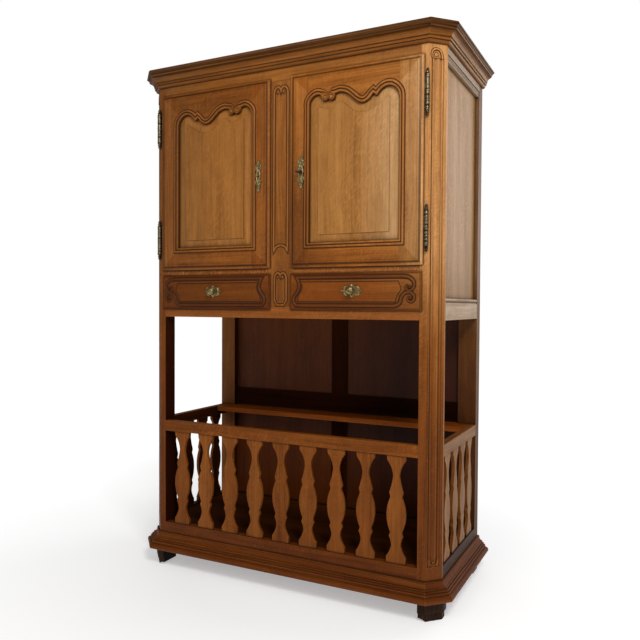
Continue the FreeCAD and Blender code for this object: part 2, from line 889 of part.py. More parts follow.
def build_back():
    """Framed back: four rails and a stile in three lengths round six panels."""
    y = (BACK_FRONT, BACK_FACE)
    low = PLINTH_TOP - z.back_bottom_rail_height
    middle_low = GALLERY_TOP + z.back_middle_rail_rise
    rails = {
        "back_bottom_rail": (low, PLINTH_TOP),
        "back_middle_rail": (middle_low, middle_low + z.back_middle_rail_height),
        "back_floor_rail": (DOOR_BOTTOM - z.back_floor_rail_height, DOOR_BOTTOM),
        "back_top_rail": (POST_TOP - z.back_top_rail_height, POST_TOP),
    }
    middle = (y[0] + y[1]) / 2
    room = z.panel_clearance
    panel_y = (middle - z.back_panel_thickness / 2, middle + z.back_panel_thickness / 2)
    groove_y = (panel_y[0] - room, panel_y[1] + room)
    half = z.back_stile_width / 2
    heights = list(rails.values())
    panels = []
    grooves = []
    stiles = []
    stile_tenons = []
    for i in range(3):
        bottom = heights[i][1]
        top = heights[i + 1][0]
        tenon = z.tenon_length / 2
        wide_x = (-half + z.tenon_shoulder, half - z.tenon_shoulder)
        ends = [
            box(f"back_stile_{i + 1}_foot", wide_x, panel_y, (bottom - tenon, bottom)),
            box(f"back_stile_{i + 1}_head", wide_x, panel_y, (top, top + tenon)),
        ]
        stile_tenons += ends
        body = box(f"back_stile_{i + 1}_body", (-half, half), y, (bottom, top))
        stiles.append(fuse(f"back_stile_{i + 1}", [body] + ends))
        for side in (-1, 1):
            x = (half - z.groove_depth, INNER + z.groove_depth)
            h = (bottom - z.groove_depth, top + z.groove_depth)
            name = f"back_panel_{i + 1}_{hand(side)}"
            panels.append(box(name, side_span(side, *x), panel_y, h))
            grooves.append(
                box(
                    f"{name}_groove",
                    side_span(side, x[0] - room, x[1] + room),
                    groove_y,
                    (h[0] - room, h[1] + room),
                )
            )
    keep("back_panels", group("back_panels_group", panels))
    cut_stiles = [cut(f"back_stile_{i + 1}_cut", stile, grooves) for i, stile in enumerate(stiles)]
    keep("back_stiles", group("back_stiles_group", cut_stiles))
    whole_rails = [
        cut(f"{name}_cut", fuse(f"{name}_whole", cross_rail(name, "rear", y, h)), grooves + stile_tenons)
        for name, h in rails.items()
    ]
    keep("back_rails", group("back_rails_group", whole_rails))
    for side in (-1, 1):
        POST_CUTS[("rear", side)] += grooves


def notched_board(name, h, front, out, rear):
    """A board across the carcass, notched round the four posts."""
    points = [
        (-INNER, front),
        (INNER, front),
        (INNER, FRONT_POST_BACK),
        (out, FRONT_POST_BACK),
        (out, REAR_POST_FRONT),
        (INNER, REAR_POST_FRONT),
        (INNER, rear),
        (-INNER, rear),
        (-INNER, REAR_POST_FRONT),
        (-out, REAR_POST_FRONT),
        (-out, FRONT_POST_BACK),
        (-INNER, FRONT_POST_BACK),
    ]
    return prism(name, "Z", h, points)


def build_boards():
    thick = z.floor_thickness
    dust_top = DRAWER_BOTTOM - z.runner_height
    gallery_top = PLINTH_TOP - z.gallery_floor_drop
    low = gallery_top - thick
    for name, top, out in (
        ("cupboard_floor", DOOR_BOTTOM, PANEL_IN),
        ("dustboard", dust_top, SIDE_RAIL_IN),
        ("gallery_floor", gallery_top, SIDE_RAIL_IN),
    ):
        board = notched_board(f"{name}_board", (top - thick, top), FRONT_RAIL_BACK, out, BACK_FRONT)
        keep(name, board)

    # Shelf on cleats at each side, and cleats below the gallery floor
    shelf_low = DOOR_BOTTOM + z.shelf_height
    shelf_h = (shelf_low, shelf_low + z.shelf_thickness)
    out = PANEL_IN - z.board_end_gap
    shelf_y = (FRONT_POST_BACK + z.shelf_front_gap, REAR_POST_FRONT)
    keep("shelf", box("shelf_board", (-out, out), shelf_y, shelf_h))
    cleats = []
    for side in (-1, 1):
        y = (FRONT_POST_BACK, REAR_POST_FRONT)
        x = side_span(side, PANEL_IN - z.cleat_thickness, PANEL_IN)
        cleats.append(box(f"{hand(side)}_shelf_cleat", x, y, (shelf_h[0] - z.cleat_height, shelf_h[0])))
        x = side_span(side, SIDE_RAIL_IN - z.cleat_thickness, SIDE_RAIL_IN)
        cleats.append(box(f"{hand(side)}_floor_cleat", x, y, (low - z.cleat_height, low)))
    keep("cleats", group("cleats_group", cleats))

    # Top board closes the carcass inside the cornice
    top_h = (POST_TOP, POST_TOP + z.top_board_thickness)
    keep("top_board", prism("top_board_plan", "Z", top_h, plan(REAR)))

    # Ledge at the back of the gallery, level with its rail
    nose = z.ledge_nosing
    ledge_front = BACK_FRONT - z.ledge_depth
    rail_in = SIDE_RAIL_IN
    points = [
        (-rail_in, ledge_front + nose),
        (-rail_in + nose, ledge_front),
        (rail_in - nose, ledge_front),
        (rail_in, ledge_front + nose),
        (rail_in, REAR_POST_FRONT),
        (INNER, REAR_POST_FRONT),
        (INNER, BACK_FRONT),
        (-INNER, BACK_FRONT),
        (-INNER, REAR_POST_FRONT),
        (-rail_in, REAR_POST_FRONT),
    ]
    h = (GALLERY_TOP - z.ledge_thickness, GALLERY_TOP)
    keep("back_ledge", prism("back_ledge_board", "Z", h, points))


def build_drawer_frame():
    """Runners under the drawers and guides beside them."""
    runner_h = (DRAWER_BOTTOM - z.runner_height, DRAWER_BOTTOM)
    guide_h = (DRAWER_BOTTOM, DRAWER_BOTTOM + z.guide_height)
    y = (FRONT_RAIL_BACK, BACK_FRONT)
    guide_y = (FRONT_POST_BACK, REAR_POST_FRONT)
    edge = INNER - z.drawer_clearance + z.guide_gap
    runners = []
    guides = []
    for side in (-1, 1):
        for place, x in (
            ("inner", (MUNTIN, MUNTIN + z.runner_width)),
            ("outer", (INNER - z.runner_width, INNER)),
        ):
            runners.append(box(f"{hand(side)}_{place}_runner", side_span(side, *x), y, runner_h))
        outer = side_span(side, edge, edge + z.runner_width)
        guides.append(box(f"{hand(side)}_guide", outer, guide_y, guide_h))
    centre = MUNTIN + z.drawer_clearance - z.guide_gap
    base = box("centre_guide_base", (-MUNTIN, MUNTIN), y, runner_h)
    rib = box("centre_guide_rib", (-centre, centre), y, guide_h)
    guides.append(fuse("centre_guide", [base, rib]))
    keep("drawer_runners", group("drawer_runners_group", runners))
    keep("drawer_guides", group("drawer_guides_group", guides))


# Feet

def build_feet():
    front = []
    rear = []
    for side in (-1, 1):
        parts = []
        for place, out, h in (
            ("upper", z.foot_outset, (z.foot_step_height, z.feet_height)),
            ("lower", z.foot_outset - z.foot_step, (0, z.foot_step_height)),
        ):
            inner = HALF + z.foot_outset - z.foot_width
            slant = out * MITRE_SHARE
            points = [
                (inner * side, FRONT - out),
                ((HALF - z.corner_cant + slant) * side, FRONT - out),
                ((HALF + out) * side, FRONT + z.corner_cant - slant),
                ((HALF + out) * side, FRONT - z.foot_outset + z.foot_depth),
                (inner * side, FRONT - z.foot_outset + z.foot_depth),
            ]
            parts.append(prism(f"{hand(side)}_foot_{place}", "Z", h, points))
        inner = HALF + z.foot_outset - z.foot_width
        relief = prism(
            f"{hand(side)}_foot_relief",
            "Y",
            (FRONT - z.foot_outset - z.overrun, FRONT + z.foot_depth),
            [
                ((inner - z.overrun) * side, -z.overrun),
                ((inner + z.foot_step_height) * side, -z.overrun),
                ((inner + z.foot_step_height) * side, 0, -z.foot_step / 2 * side),
                (inner * side, z.foot_step * 1.5),
                ((inner - z.overrun) * side, z.foot_step * 1.5),
            ],
        )
        whole = fuse(f"{hand(side)}_foot_whole", parts)
        front.append(cut(f"{hand(side)}_front_foot", whole, [relief]))
        rear.append(
            box(
                f"{hand(side)}_rear_foot",
                side_span(side, HALF - z.rear_foot_width, HALF),
                (REAR - z.rear_foot_width, REAR),
                (0, z.feet_height),
            )
        )
    keep("front_feet", group("front_feet_group", front))
    keep("rear_feet", group("rear_feet_group", rear))


# Doors

DOOR_CURVE_SHARES = [
    # place across the opening, height in the curve, bow, from the lock side
    (0.000, 0.500, -0.021),
    (0.074, 0.972, -0.008),
    (0.139, 0.931, 0.0),
    (0.163, 0.722, 0.012),
    (0.220, 0.722, 0.0),
    (0.235, 0.722, 0.012),
    (0.291, 0.722, 0.0),
    (0.295, 0.924, -0.0115),
    (0.401, 0.944, -0.005),
    (0.478, 0.714, 0.0),
    (0.5385, 0.467, 0.0228),
    (0.663, 0.4375, 0.0),
    (0.721, 0.708, 0.0),
    (0.756, 0.579, -0.004),
    (0.828, 0.892, -0.016),
    (0.940, 0.856, -0.006),
    (0.988, 0.603, -0.003),
    (1.000, 0.306, 0.0),
]

FIELD_CURVE_SHARES = [
    # the same for the raised field, point for point with the curve above it
    (0.000, 0.78, 0.0),
    (0.021, 0.73, 0.0),
    (0.051, 0.676, 0.0),
    (0.085, 0.64, 0.0),
    (0.138, 0.60, 0.0),
    (0.161, 0.592, 0.0),
    (0.2136, 0.574, 0.0),
    (0.240, 0.59, -0.024),
    (0.342, 0.92, -0.004),
    (0.433, 0.532, 0.0),
    (0.5085, 0.23, 0.024),
    (0.758, 0.15, 0.0),
    (0.810, 0.30, 0.0),
    (0.845, 0.408, 0.0),
    (0.9055, 0.62, 0.0),
    (0.958, 0.83, 0.0),
    (0.985, 0.89, 0.0),
    (1.000, 0.88, 0.0),
]


def door_places(side):
    """Spans of one door: lip, part inside the opening and sight opening."""
    lap = z.lip_overlap
    gap = z.door_clearance
    lip_x = (MUNTIN - lap, INNER + lap)
    lip_h = (DOOR_BOTTOM - lap, DOOR_TOP + lap)
    inner_x = (MUNTIN + gap, INNER - gap)
    inner_h = (DOOR_BOTTOM + gap, DOOR_TOP - gap)
    sight_x = (lip_x[0] + z.door_lock_stile_width, lip_x[1] - z.door_hinge_stile_width)
    sight_h = (lip_h[0] + z.door_bottom_rail_height, lip_h[1] - z.door_curve_top)
    return lip_x, lip_h, inner_x, inner_h, sight_x, sight_h


def build_door(side):
    name = f"{hand(side)}_door"
    lip_x, lip_h, inner_x, inner_h, sight_x, sight_h = door_places(side)
    slab = lipped_slab(
        name,
        side_span(side, *lip_x),
        lip_h,
        z.door_proud,
        z.door_inside,
        side_span(side, *inner_x),
        inner_h,
        z.edge_mould_width,
        z.edge_mould_bead,
    )
    run = z.overrun
    depth = (FRONT - z.door_proud - run, FRONT + z.door_inside + run)
    groove = z.groove_depth
    room = z.panel_clearance

    # Panel: a tongued board with a raised and bevelled field
    back = FRONT + z.door_tongue_back
    tongue_y = (back - z.door_tongue_thickness, back)
    panel_x = (sight_x[0] - groove, sight_x[1] + groove)
    panel_h = (sight_h[0] - groove, sight_h[1] + groove)
    tongue = box(f"{name}_tongue", side_span(side, *panel_x), tongue_y, panel_h)
    groove_cut = box(
        f"{name}_groove",
        side_span(side, panel_x[0] - room, panel_x[1] + room),
        (tongue_y[0] - room, tongue_y[1] + room),
        (panel_h[0] - room, panel_h[1] + room),
    )
    regions = {
        "bottom_rail": bottom_rail_region(name, side, depth, sight_x, lip_h, sight_h),
        "top_rail": top_rail_region(name, side, depth, sight_x, lip_h, sight_h),
    }
    bevel, face = raised_field(name, side, tongue_y[0], sight_x, sight_h)
    field = cut(f"{name}_field_trimmed", bevel, [regions["top_rail"]])
    keep(f"{name}_panel", fuse(f"{name}_panel_whole", [tongue, field, face]))

    # Frame: two stiles, a shaped top rail and a straight bottom rail
    rails = {}
    tenons = []
    mould = z.edge_mould_width
    shoulder = groove + z.tenon_shoulder
    for place, h in (
        ("bottom_rail", (lip_h[0] + mould, sight_h[0] - shoulder)),
        ("top_rail", (sight_h[1] + shoulder, lip_h[1] - mould)),
    ):
        rail = common(f"{name}_{place}_shape", [slab, regions[place]])
        ends = []
        for end, x in (
            ("lock", (sight_x[0] - z.tenon_length, sight_x[0])),
            ("hinge", (sight_x[1], sight_x[1] + z.tenon_length)),
        ):
            ends.append(box(f"{name}_{place}_{end}_tenon", side_span(side, *x), tongue_y, h))
        tenons += ends
        whole = fuse(f"{name}_{place}_whole", [rail] + ends)
        rails[place] = cut(f"{name}_{place}_cut", whole, [groove_cut])
    keep(f"{name}_top_rail", rails["top_rail"])
    keep(f"{name}_bottom_rail", rails["bottom_rail"])

    hole = key_hole(side, "stile")
    stiles = []
    whole_h = (lip_h[0] - run, lip_h[1] + run)
    for end, x in (("lock", (lip_x[0] - run, sight_x[0])), ("hinge", (sight_x[1], lip_x[1] + run))):
        region = box(f"{name}_{end}_region", side_span(side, *x), depth, whole_h)
        shape = common(f"{name}_{end}_shape", [slab, region])
        cuts = tenons + [groove_cut]
        if end == "lock":
            cuts.append(hole)
        else:
            cuts += [hinge_leaf(side, level, "door", z.hinge_leaf_clearance) for level in HINGE_LEVELS]
        stiles.append(cut(f"{name}_{end}_stile", shape, cuts))
    keep(f"{name}_stiles", group(f"{name}_stiles_group", stiles))


def bottom_rail_region(name, side, depth, sight_x, lip_h, sight_h):
    h = (lip_h[0] - z.overrun, sight_h[0])
    return box(f"{name}_bottom_region", side_span(side, *sight_x), depth, h)


def curve_points(side, sight_x, sight_h):
    """The shaped edge of the top rail, from the lock side to the hinge side."""
    width = sight_x[1] - sight_x[0]
    low = sight_h[1] - z.door_curve_depth
    points = []
    for x, h, bow in DOOR_CURVE_SHARES:
        place = (sight_x[0] + width * x) * side
        points.append((place, low + z.door_curve_depth * h, -(width * bow) * side))
    return points


def top_rail_region(name, side, depth, sight_x, lip_h, sight_h):
    top = lip_h[1] + z.overrun
    points = curve_points(side, sight_x, sight_h)
    points += [(sight_x[1] * side, top), (sight_x[0] * side, top)]
    return prism(f"{name}_top_region", "Y", depth, points)


def raised_field(name, side, base_y, sight_x, sight_h):
    """Bevel and face of the field: a loft from the sight edge back at the
    tongue to the field's own outline, and the face one step before it."""
    margin = z.door_field_margin
    face = FRONT - z.door_proud + z.door_field_recess
    step = face + z.door_field_step
    gap = z.door_field_gap
    foot_x = (sight_x[0] + gap, sight_x[1] - gap)
    foot_low = sight_h[0] + gap
    foot = curve_points(side, foot_x, (foot_low, sight_h[1] - gap * 2))
    foot += [(foot_x[1] * side, foot_low), (foot_x[0] * side, foot_low)]
    field_x = (sight_x[0] + margin, sight_x[1] - margin)
    width = field_x[1] - field_x[0]
    rise = z.door_field_rise
    low = sight_h[1] - z.door_field_drop
    top = [
        ((field_x[0] + width * x) * side, low + rise * h, -(width * bow) * side)
        for x, h, bow in FIELD_CURVE_SHARES
    ]
    foot_edge = sight_h[0] + z.door_field_foot_margin
    top += [(field_x[1] * side, foot_edge), (field_x[0] * side, foot_edge)]
    body = DOC.addObject("PartDesign::Body", f"{name}_field")
    sketches = []
    for place, y, points in (("foot", base_y, foot), ("step", step, top)):
        sketch = body.newObject("Sketcher::SketchObject", f"{name}_field_{place}")
        sketch.AttachmentSupport = (origin_plane(body, PLANES["Y"]), [""])
        sketch.MapMode = "FlatFace"
        bind(sketch, ".AttachmentOffset.Base.z", -y)
        outline(sketch, points)
        sketches.append(sketch)
    loft = body.newObject("PartDesign::AdditiveLoft", f"{name}_field_bevel")
    loft.Profile = (sketches[0], [""])
    loft.Sections = [(sketches[1], [""])]
    loft.Ruled = True
    body.Tip = loft
    return body, prism(f"{name}_field_face", "Y", (face, step), top)


# Drawers

def drawer_places():
    lip_x = (MUNTIN - z.lip_overlap, INNER + z.drawer_outer_lip)
    lip_h = (DRAWER_BOTTOM - z.lip_overlap, DRAWER_TOP + z.lip_overlap)
    inner_x = (MUNTIN + z.drawer_clearance, INNER - z.drawer_clearance)
    inner_h = (DRAWER_BOTTOM + z.drawer_run_gap, DRAWER_TOP - z.drawer_clearance)
    return lip_x, lip_h, inner_x, inner_h


def build_drawer(side):
    name = f"{hand(side)}_drawer"
    lip_x, lip_h, inner_x, inner_h = drawer_places()
    slab = lipped_slab(
        name,
        side_span(side, *lip_x),
        lip_h,
        z.door_proud,
        z.drawer_front_inside,
        side_span(side, *inner_x),
        inner_h,
        z.drawer_mould_width,
        z.drawer_mould_bead,
    )
    thick = z.drawer_side_thickness
    back = FRONT + z.drawer_front_inside
    end = BACK_FRONT - z.drawer_back_room
    h = (inner_h[0], inner_h[0] + z.drawer_side_height)
    floor_low = h[0] + z.drawer_bottom_rise
    groove = z.drawer_groove_depth
    floor_x = (inner_x[0] + thick - groove, inner_x[1] - thick + groove)
    floor_h = (floor_low, floor_low + z.drawer_bottom_thickness)
    floor_y = (back - groove, end - thick + groove)
    bottom = box(f"{name}_floor", side_span(side, *floor_x), floor_y, floor_h)
    keep(f"{name}_bottom", bottom)
    boards = []
    for place, x, y in (
        ("inner_side", (inner_x[0], inner_x[0] + thick), (back, end)),
        ("outer_side", (inner_x[1] - thick, inner_x[1]), (back, end)),
        ("back", (inner_x[0] + thick, inner_x[1] - thick), (end - thick, end)),
    ):
        board = box(f"{name}_{place}_blank", side_span(side, *x), y, h)
        boards.append(cut(f"{name}_{place}", board, [bottom]))
    keep(f"{name}_box", group(f"{name}_box_group", boards))
    keep(f"{name}_front", cut(f"{name}_front_cut", slab, [bottom]))
    build_knob(side, lip_x)


KNOB_PLATE_SHARES = [
    # half width and height as shares of the half sizes, upwards, with bows
    (0.00, -1.00, -0.03),
    (0.20, -0.62, -0.04),
    (0.62, -0.66, -0.05),
    (0.66, -0.20, 0.0),
    (1.00, 0.00, 0.0),
    (0.66, 0.20, -0.05),
    (0.62, 0.66, -0.04),
    (0.20, 0.62, -0.03),
    (0.00, 1.00, 0.0),
]


def mirrored_outline(shares, x, h, half_width, half_height):
    """Outline of a plate from its right half, upwards, and the same mirrored.
    Its bows are shares of the half width."""
    right = [(x + half_width * w, h + half_height * v, half_width * bow) for w, v, bow in shares]
    left = []
    for i in range(len(shares) - 2, 0, -1):
        w, v, bow = shares[i]
        # Going down, the edge that leaves a point is the one that came up to it
        left.append((x - half_width * w, h + half_height * v, half_width * shares[i - 1][2]))
    first = (right[-1][0], right[-1][1], half_width * shares[-2][2])
    return right[:-1] + [first] + left


def build_knob(side, lip_x):
    name = f"{hand(side)}_drawer"
    centre = (lip_x[0] + lip_x[1]) / 2 * side
    face = FRONT - z.door_proud
    half_w = z.knob_plate_width / 2
    half_h = z.knob_plate_height / 2
    mid = DRAWER_BOTTOM + z.knob_rise
    points = mirrored_outline(KNOB_PLATE_SHARES, centre, mid, half_w, half_h)
    plate = prism(f"{name}_knob_plate", "Y", (face - z.knob_plate_thickness, face), points)
    radius = z.knob_radius
    neck = z.knob_neck_radius
    reach = z.knob_reach
    start = z.knob_neck_length
    profile = [
        (0, 0),
        (neck, 0),
        (neck, start / 2),
        (neck * 0.8, start, -radius * 0.12),
        (radius, (start + reach) / 2, -radius * 0.16),
        (radius * 0.25, reach, 0),
        (0, reach),
    ]
    base = (centre, face - z.knob_plate_thickness, mid)
    knob = turned(f"{name}_knob_turning", profile, base, upright=False)
    keep(f"{name}_knob", group(f"{name}_knob_group", [plate, knob]))


# Hinges

HINGE_LEVELS = ("upper", "lower")


def hinge_axis(side):
    return (INNER + z.lip_overlap + z.hinge_axis_offset) * side, FRONT - z.hinge_axis_forward


def hinge_level(level):
    if level == "upper":
        return DOOR_TOP - z.upper_hinge_drop
    return DOOR_BOTTOM + z.lower_hinge_rise


def hinge_leaf(side, level, half, room=0):
    """Leaf of a hinge half: the door's goes into its edge, the post's into
    its face. room widens it into the slot that it sits in."""
    x, y = hinge_axis(1)
    mid = hinge_level(level)
    inset = (z.hinge_barrel_length - z.hinge_leaf_length) / 2
    thin = z.hinge_leaf_thickness / 2 + room
    name = f"{hand(side)}_{level}_{half}_leaf{'_slot' if room else ''}"
    gap = z.hinge_knuckle_gap / 2
    if half == "door":
        h = (mid + gap + inset - room, mid + gap + inset + z.hinge_leaf_length + room)
        wood = INNER + z.lip_overlap
        reach = (wood - z.hinge_leaf_depth - room, x - z.hinge_pin_radius / 2)
        leaf_y = y + z.hinge_leaf_setback
        return box(name, side_span(side, *reach), (leaf_y - thin, leaf_y + thin), h)
    h = (mid - gap - inset - z.hinge_leaf_length - room, mid - gap - inset + room)
    deep = (y + z.hinge_pin_radius * 1.2, FRONT + z.hinge_leaf_depth + room)
    return box(name, side_span(side, x - thin, x + thin), deep, h)


FINIAL_SHARES = [
    # radius and height as shares, from the barrel's end
    (0.55, 0.00),
    (0.55, 0.14),
    (1.00, 0.20),
    (1.00, 0.30),
    (0.50, 0.42),
    (0.85, 0.62),
    (0.45, 0.86),
    (0.00, 1.00),
]


def finial(end, up):
    """Turned drop of a hinge from the barrel's end, as radius and height."""
    reach = z.hinge_finial_length if up else -z.hinge_finial_length
    return [(z.hinge_radius * w, end + reach * h) for w, h in FINIAL_SHARES]


def build_hinges(side):
    x, y = hinge_axis(side)
    gap = z.hinge_knuckle_gap / 2
    length = z.hinge_barrel_length
    r = z.hinge_radius
    bore = z.hinge_pin_radius + z.hinge_pin_clearance
    pin = z.hinge_pin_radius
    pin_top = z.hinge_pin_length - gap
    bore_top = z.hinge_pin_length + gap
    door_half = []
    post_half = []
    for level in HINGE_LEVELS:
        mid = hinge_level(level)
        stem = f"{hand(side)}_{level}_hinge"

        # Door half: the upper barrel, bored for the pin, with its finial
        profile = [(bore, gap), (r, gap), (r, length)]
        profile += finial(length, True)
        profile += [(0, bore_top), (bore, bore_top)]
        barrel = turned(f"{stem}_upper_barrel", profile, (x, y, mid))
        door_half.append(fuse(f"{stem}_door_part", [barrel, hinge_leaf(side, level, "door")]))

        # Post half: the lower barrel, its finial and the pin in one
        profile = finial(-length, False)[::-1]
        profile += [(r, -length), (r, -gap), (pin, -gap), (pin, pin_top), (0, pin_top)]
        barrel = turned(f"{stem}_lower_barrel", profile, (x, y, mid))
        post_half.append(fuse(f"{stem}_post_part", [barrel, hinge_leaf(side, level, "post")]))
    keep(f"{hand(side)}_door_hinge_halves", group(f"{hand(side)}_door_hinge_group", door_half))
    keep(f"{hand(side)}_post_hinge_halves", group(f"{hand(side)}_post_hinge_group", post_half))


# Locks

def lock_case_places():
    edge = MUNTIN + z.door_clearance
    x = (edge, edge + z.lock_case_width)
    y = (FRONT + z.door_inside, FRONT + z.door_inside + z.lock_case_depth)
    h = (LOCK_HEIGHT - z.lock_case_height / 2, LOCK_HEIGHT + z.lock_case_height / 2)
    return x, y, h


def bolt_places():
    x, y, h = lock_case_places()
    wall = z.lock_case_wall
    front = y[0] + wall + z.bolt_clearance
    low = LOCK_HEIGHT + z.bolt_rise - z.bolt_height / 2
    return (x[0], x[0] + z.bolt_length), (front, front + z.bolt_thickness), (low, low + z.bolt_height)


def bolt_mortise(side):
    x, y, h = bolt_places()
    room = z.bolt_clearance
    reach = z.bolt_throw + z.door_clearance
    return box(
        f"{hand(side)}_bolt_mortise",
        side_span(side, x[0] - reach - room, x[0] + room),
        (y[0] - room, y[1] + room),
        (h[0] - room, h[1] + room),
    )


def key_hole(side, place):
    back = FRONT + z.door_inside + z.lock_case_wall * 2
    front = FRONT - z.door_proud - z.escutcheon_thickness - z.overrun
    base = (z.lock_axis_offset * side, back, LOCK_HEIGHT)
    name = f"{hand(side)}_{place}_key_hole"
    return cylinder(name, z.key_hole_radius, back - front, base, FORWARD)


def build_lock(side):
    name = hand(side)
    x, y, h = lock_case_places()
    wall = z.lock_case_wall
    outer = box(f"{name}_lock_outer", side_span(side, *x), y, h)
    inner = box(
        f"{name}_lock_hollow",
        side_span(side, x[0] + wall, x[1] - wall),
        (y[0] + wall, y[1] - wall),
        (h[0] + wall, h[1] - wall),
    )
    bx, by, bh = bolt_places()
    room = z.bolt_clearance
    slot = box(
        f"{name}_bolt_slot",
        side_span(side, x[0] - z.overrun, x[0] + wall * 2),
        (by[0] - room, by[1] + room),
        (bh[0] - room, bh[1] + room),
    )
    keep(f"{name}_lock_case", cut(f"{name}_lock_case_cut", outer, [inner, slot, key_hole(side, "case")]))
    keep(f"{name}_lock_bolt", box(f"{name}_bolt_bar", side_span(side, *bx), by, bh))
    build_escutcheon(side)


ESCUTCHEON_SHARES = [
    (0.00, -1.00, -0.16),
    (0.42, -0.80, 0.14),
    (0.34, -0.58, -0.24),
    (1.00, -0.30, 0.14),
    (0.62, -0.12, -0.16),
    (0.74, 0.20, 0.10),
    (0.60, 0.36, -0.22),
    (0.92, 0.60, 0.14),
    (0.36, 0.78, -0.16),
    (0.00, 1.00, 0.0),
]


def build_escutcheon(side):
    centre = z.lock_axis_offset * side
    face = FRONT - z.door_proud
    half_w = z.escutcheon_width / 2
    half_h = z.escutcheon_height / 2
    points = mirrored_outline(ESCUTCHEON_SHARES, centre, LOCK_HEIGHT, half_w, half_h)
    plate = prism(f"{hand(side)}_escutcheon_plate", "Y", (face - z.escutcheon_thickness, face), points)
    name = f"{hand(side)}_escutcheon"
    keep(name, cut(f"{name}_cut", plate, [key_hole(side, "plate")]))


def build_key():
    """Key in the right door: bow, collar, shank and bit."""
    x = z.lock_axis_offset
    h = LOCK_HEIGHT
    face = FRONT - z.door_proud - z.escutcheon_thickness
    collar_front = face - z.panel_clearance - z.key_collar_length
    collar_back = collar_front + z.key_collar_length
    back = FRONT + z.door_inside + z.key_reach
    front = collar_front - z.key_neck_length
    shank = cylinder("key_shank", z.key_radius, back - front, (x, back, h), FORWARD)
    collar = cylinder(
        "key_collar", z.key_collar_radius, z.key_collar_length, (x, collar_back, h), FORWARD
    )
    bow = DOC.addObject("Part::Torus", "key_bow")
    bind(bow, "Radius1", z.key_bow_radius)
    bind(bow, "Radius2", z.key_bow_wire)
    bind(bow, "Placement.Base.x", x)
    bind(bow, "Placement.Base.y", front - z.key_bow_radius)
    bind(bow, "Placement.Base.z", h)
    bit = box(
        "key_bit",
        (x - z.key_bit_thickness / 2, x + z.key_bit_thickness / 2),
        (back - z.key_bit_width, back),
        (h - z.key_bit_length, h),
    )
    keep("key", fuse("key_whole", [shank, collar, bow, bit]))


def check_and_write():
    DOC.recompute()
    failed = [thing.Label for thing in DOC.Objects if {"Invalid", "Error"} & set(thing.State)]
    if failed:
        raise RuntimeError(f"Did not compute: {failed}")
    for name, thing in NODES.items():
        if thing.Shape.isNull() or not thing.Shape.isValid():
            raise RuntimeError(f"{name} has no valid shape")
        if not thing.Shape.Solids:
            raise RuntimeError(f"{name} holds no solid")
    os.makedirs("parts", exist_ok=True)
    for name, thing in NODES.items():
        thing.Shape.exportStep(f"parts/{name}.step")
    print(f"{len(NODES)} sub-parts, {sum(len(t.Shape.Solids) for t in NODES.values())} solids")


def main():
    build_carcass()
    build_boards()
    build_drawer_frame()
    low = OVERALL_TOP - z.cornice_height
    profile = moulding_profile(CORNICE_SHARES, z.cornice_projection, low, z.cornice_height)
    keep("cornice", moulding("cornice_run", profile, low, OVERALL_TOP, z.cornice_projection))
    profile = moulding_profile(BASE_SHARES, z.base_projection, z.feet_height, z.base_height)
    base_h = (z.feet_height, z.feet_height + z.base_height)
    keep("base_moulding", moulding("base_run", profile, *base_h, z.base_projection))
    build_feet()
    for side in (-1, 1):
        build_door(side)
        build_drawer(side)
        build_hinges(side)
        build_lock(side)
    build_key()
    check_and_write()


main()
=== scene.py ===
import json
import math
import bmesh
import bpy
import numpy as np
from mathutils import Matrix, Vector


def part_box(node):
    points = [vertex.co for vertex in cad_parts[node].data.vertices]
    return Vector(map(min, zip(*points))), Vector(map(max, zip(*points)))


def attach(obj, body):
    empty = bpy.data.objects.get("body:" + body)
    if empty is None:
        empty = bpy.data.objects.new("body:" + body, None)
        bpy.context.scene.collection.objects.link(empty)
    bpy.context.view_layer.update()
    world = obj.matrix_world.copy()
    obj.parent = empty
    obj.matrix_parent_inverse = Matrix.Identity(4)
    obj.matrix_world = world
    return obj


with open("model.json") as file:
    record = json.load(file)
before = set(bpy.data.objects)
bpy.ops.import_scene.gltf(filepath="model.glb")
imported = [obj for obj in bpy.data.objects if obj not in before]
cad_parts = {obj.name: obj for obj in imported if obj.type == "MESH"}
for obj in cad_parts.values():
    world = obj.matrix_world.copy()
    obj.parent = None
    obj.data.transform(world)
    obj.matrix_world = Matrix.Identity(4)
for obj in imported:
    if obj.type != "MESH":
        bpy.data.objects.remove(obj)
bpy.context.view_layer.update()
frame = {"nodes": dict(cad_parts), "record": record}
MM = 0.001
NODES = frame["nodes"]
UP = (0.0, 0.0, 1.0)
BODY_OF = {node: body for body, nodes in frame["record"]["behaviour"]["bodies"].items() for node in nodes}
SLOT_OF = {entry["node"]: entry["material_slot"] for entry in frame["record"]["subparts"]}

# Places read from the frame
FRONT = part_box("frieze_rail")[0][1]
DOOR_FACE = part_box("right_door_bottom_rail")[0][1]
DRAWER_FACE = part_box("right_drawer_front")[0][1]
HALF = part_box("front_right_post")[1][0]

# The photograph's camera: picture in pixels, place in metres, sensor in
# millimetres
PHOTO_SIDE = 640.0
FOCAL_PIXELS = 666.81
CENTRE_PIXEL = (332.99, 322.19)
CAMERA_AHEAD = 2.08215
CAMERA_PLACE = (1.22824, FRONT - CAMERA_AHEAD, 1.03706)
YAW = math.radians(26.01)
PITCH = math.radians(1.40)
ROLL = math.radians(0.35)
SENSOR = 36.0


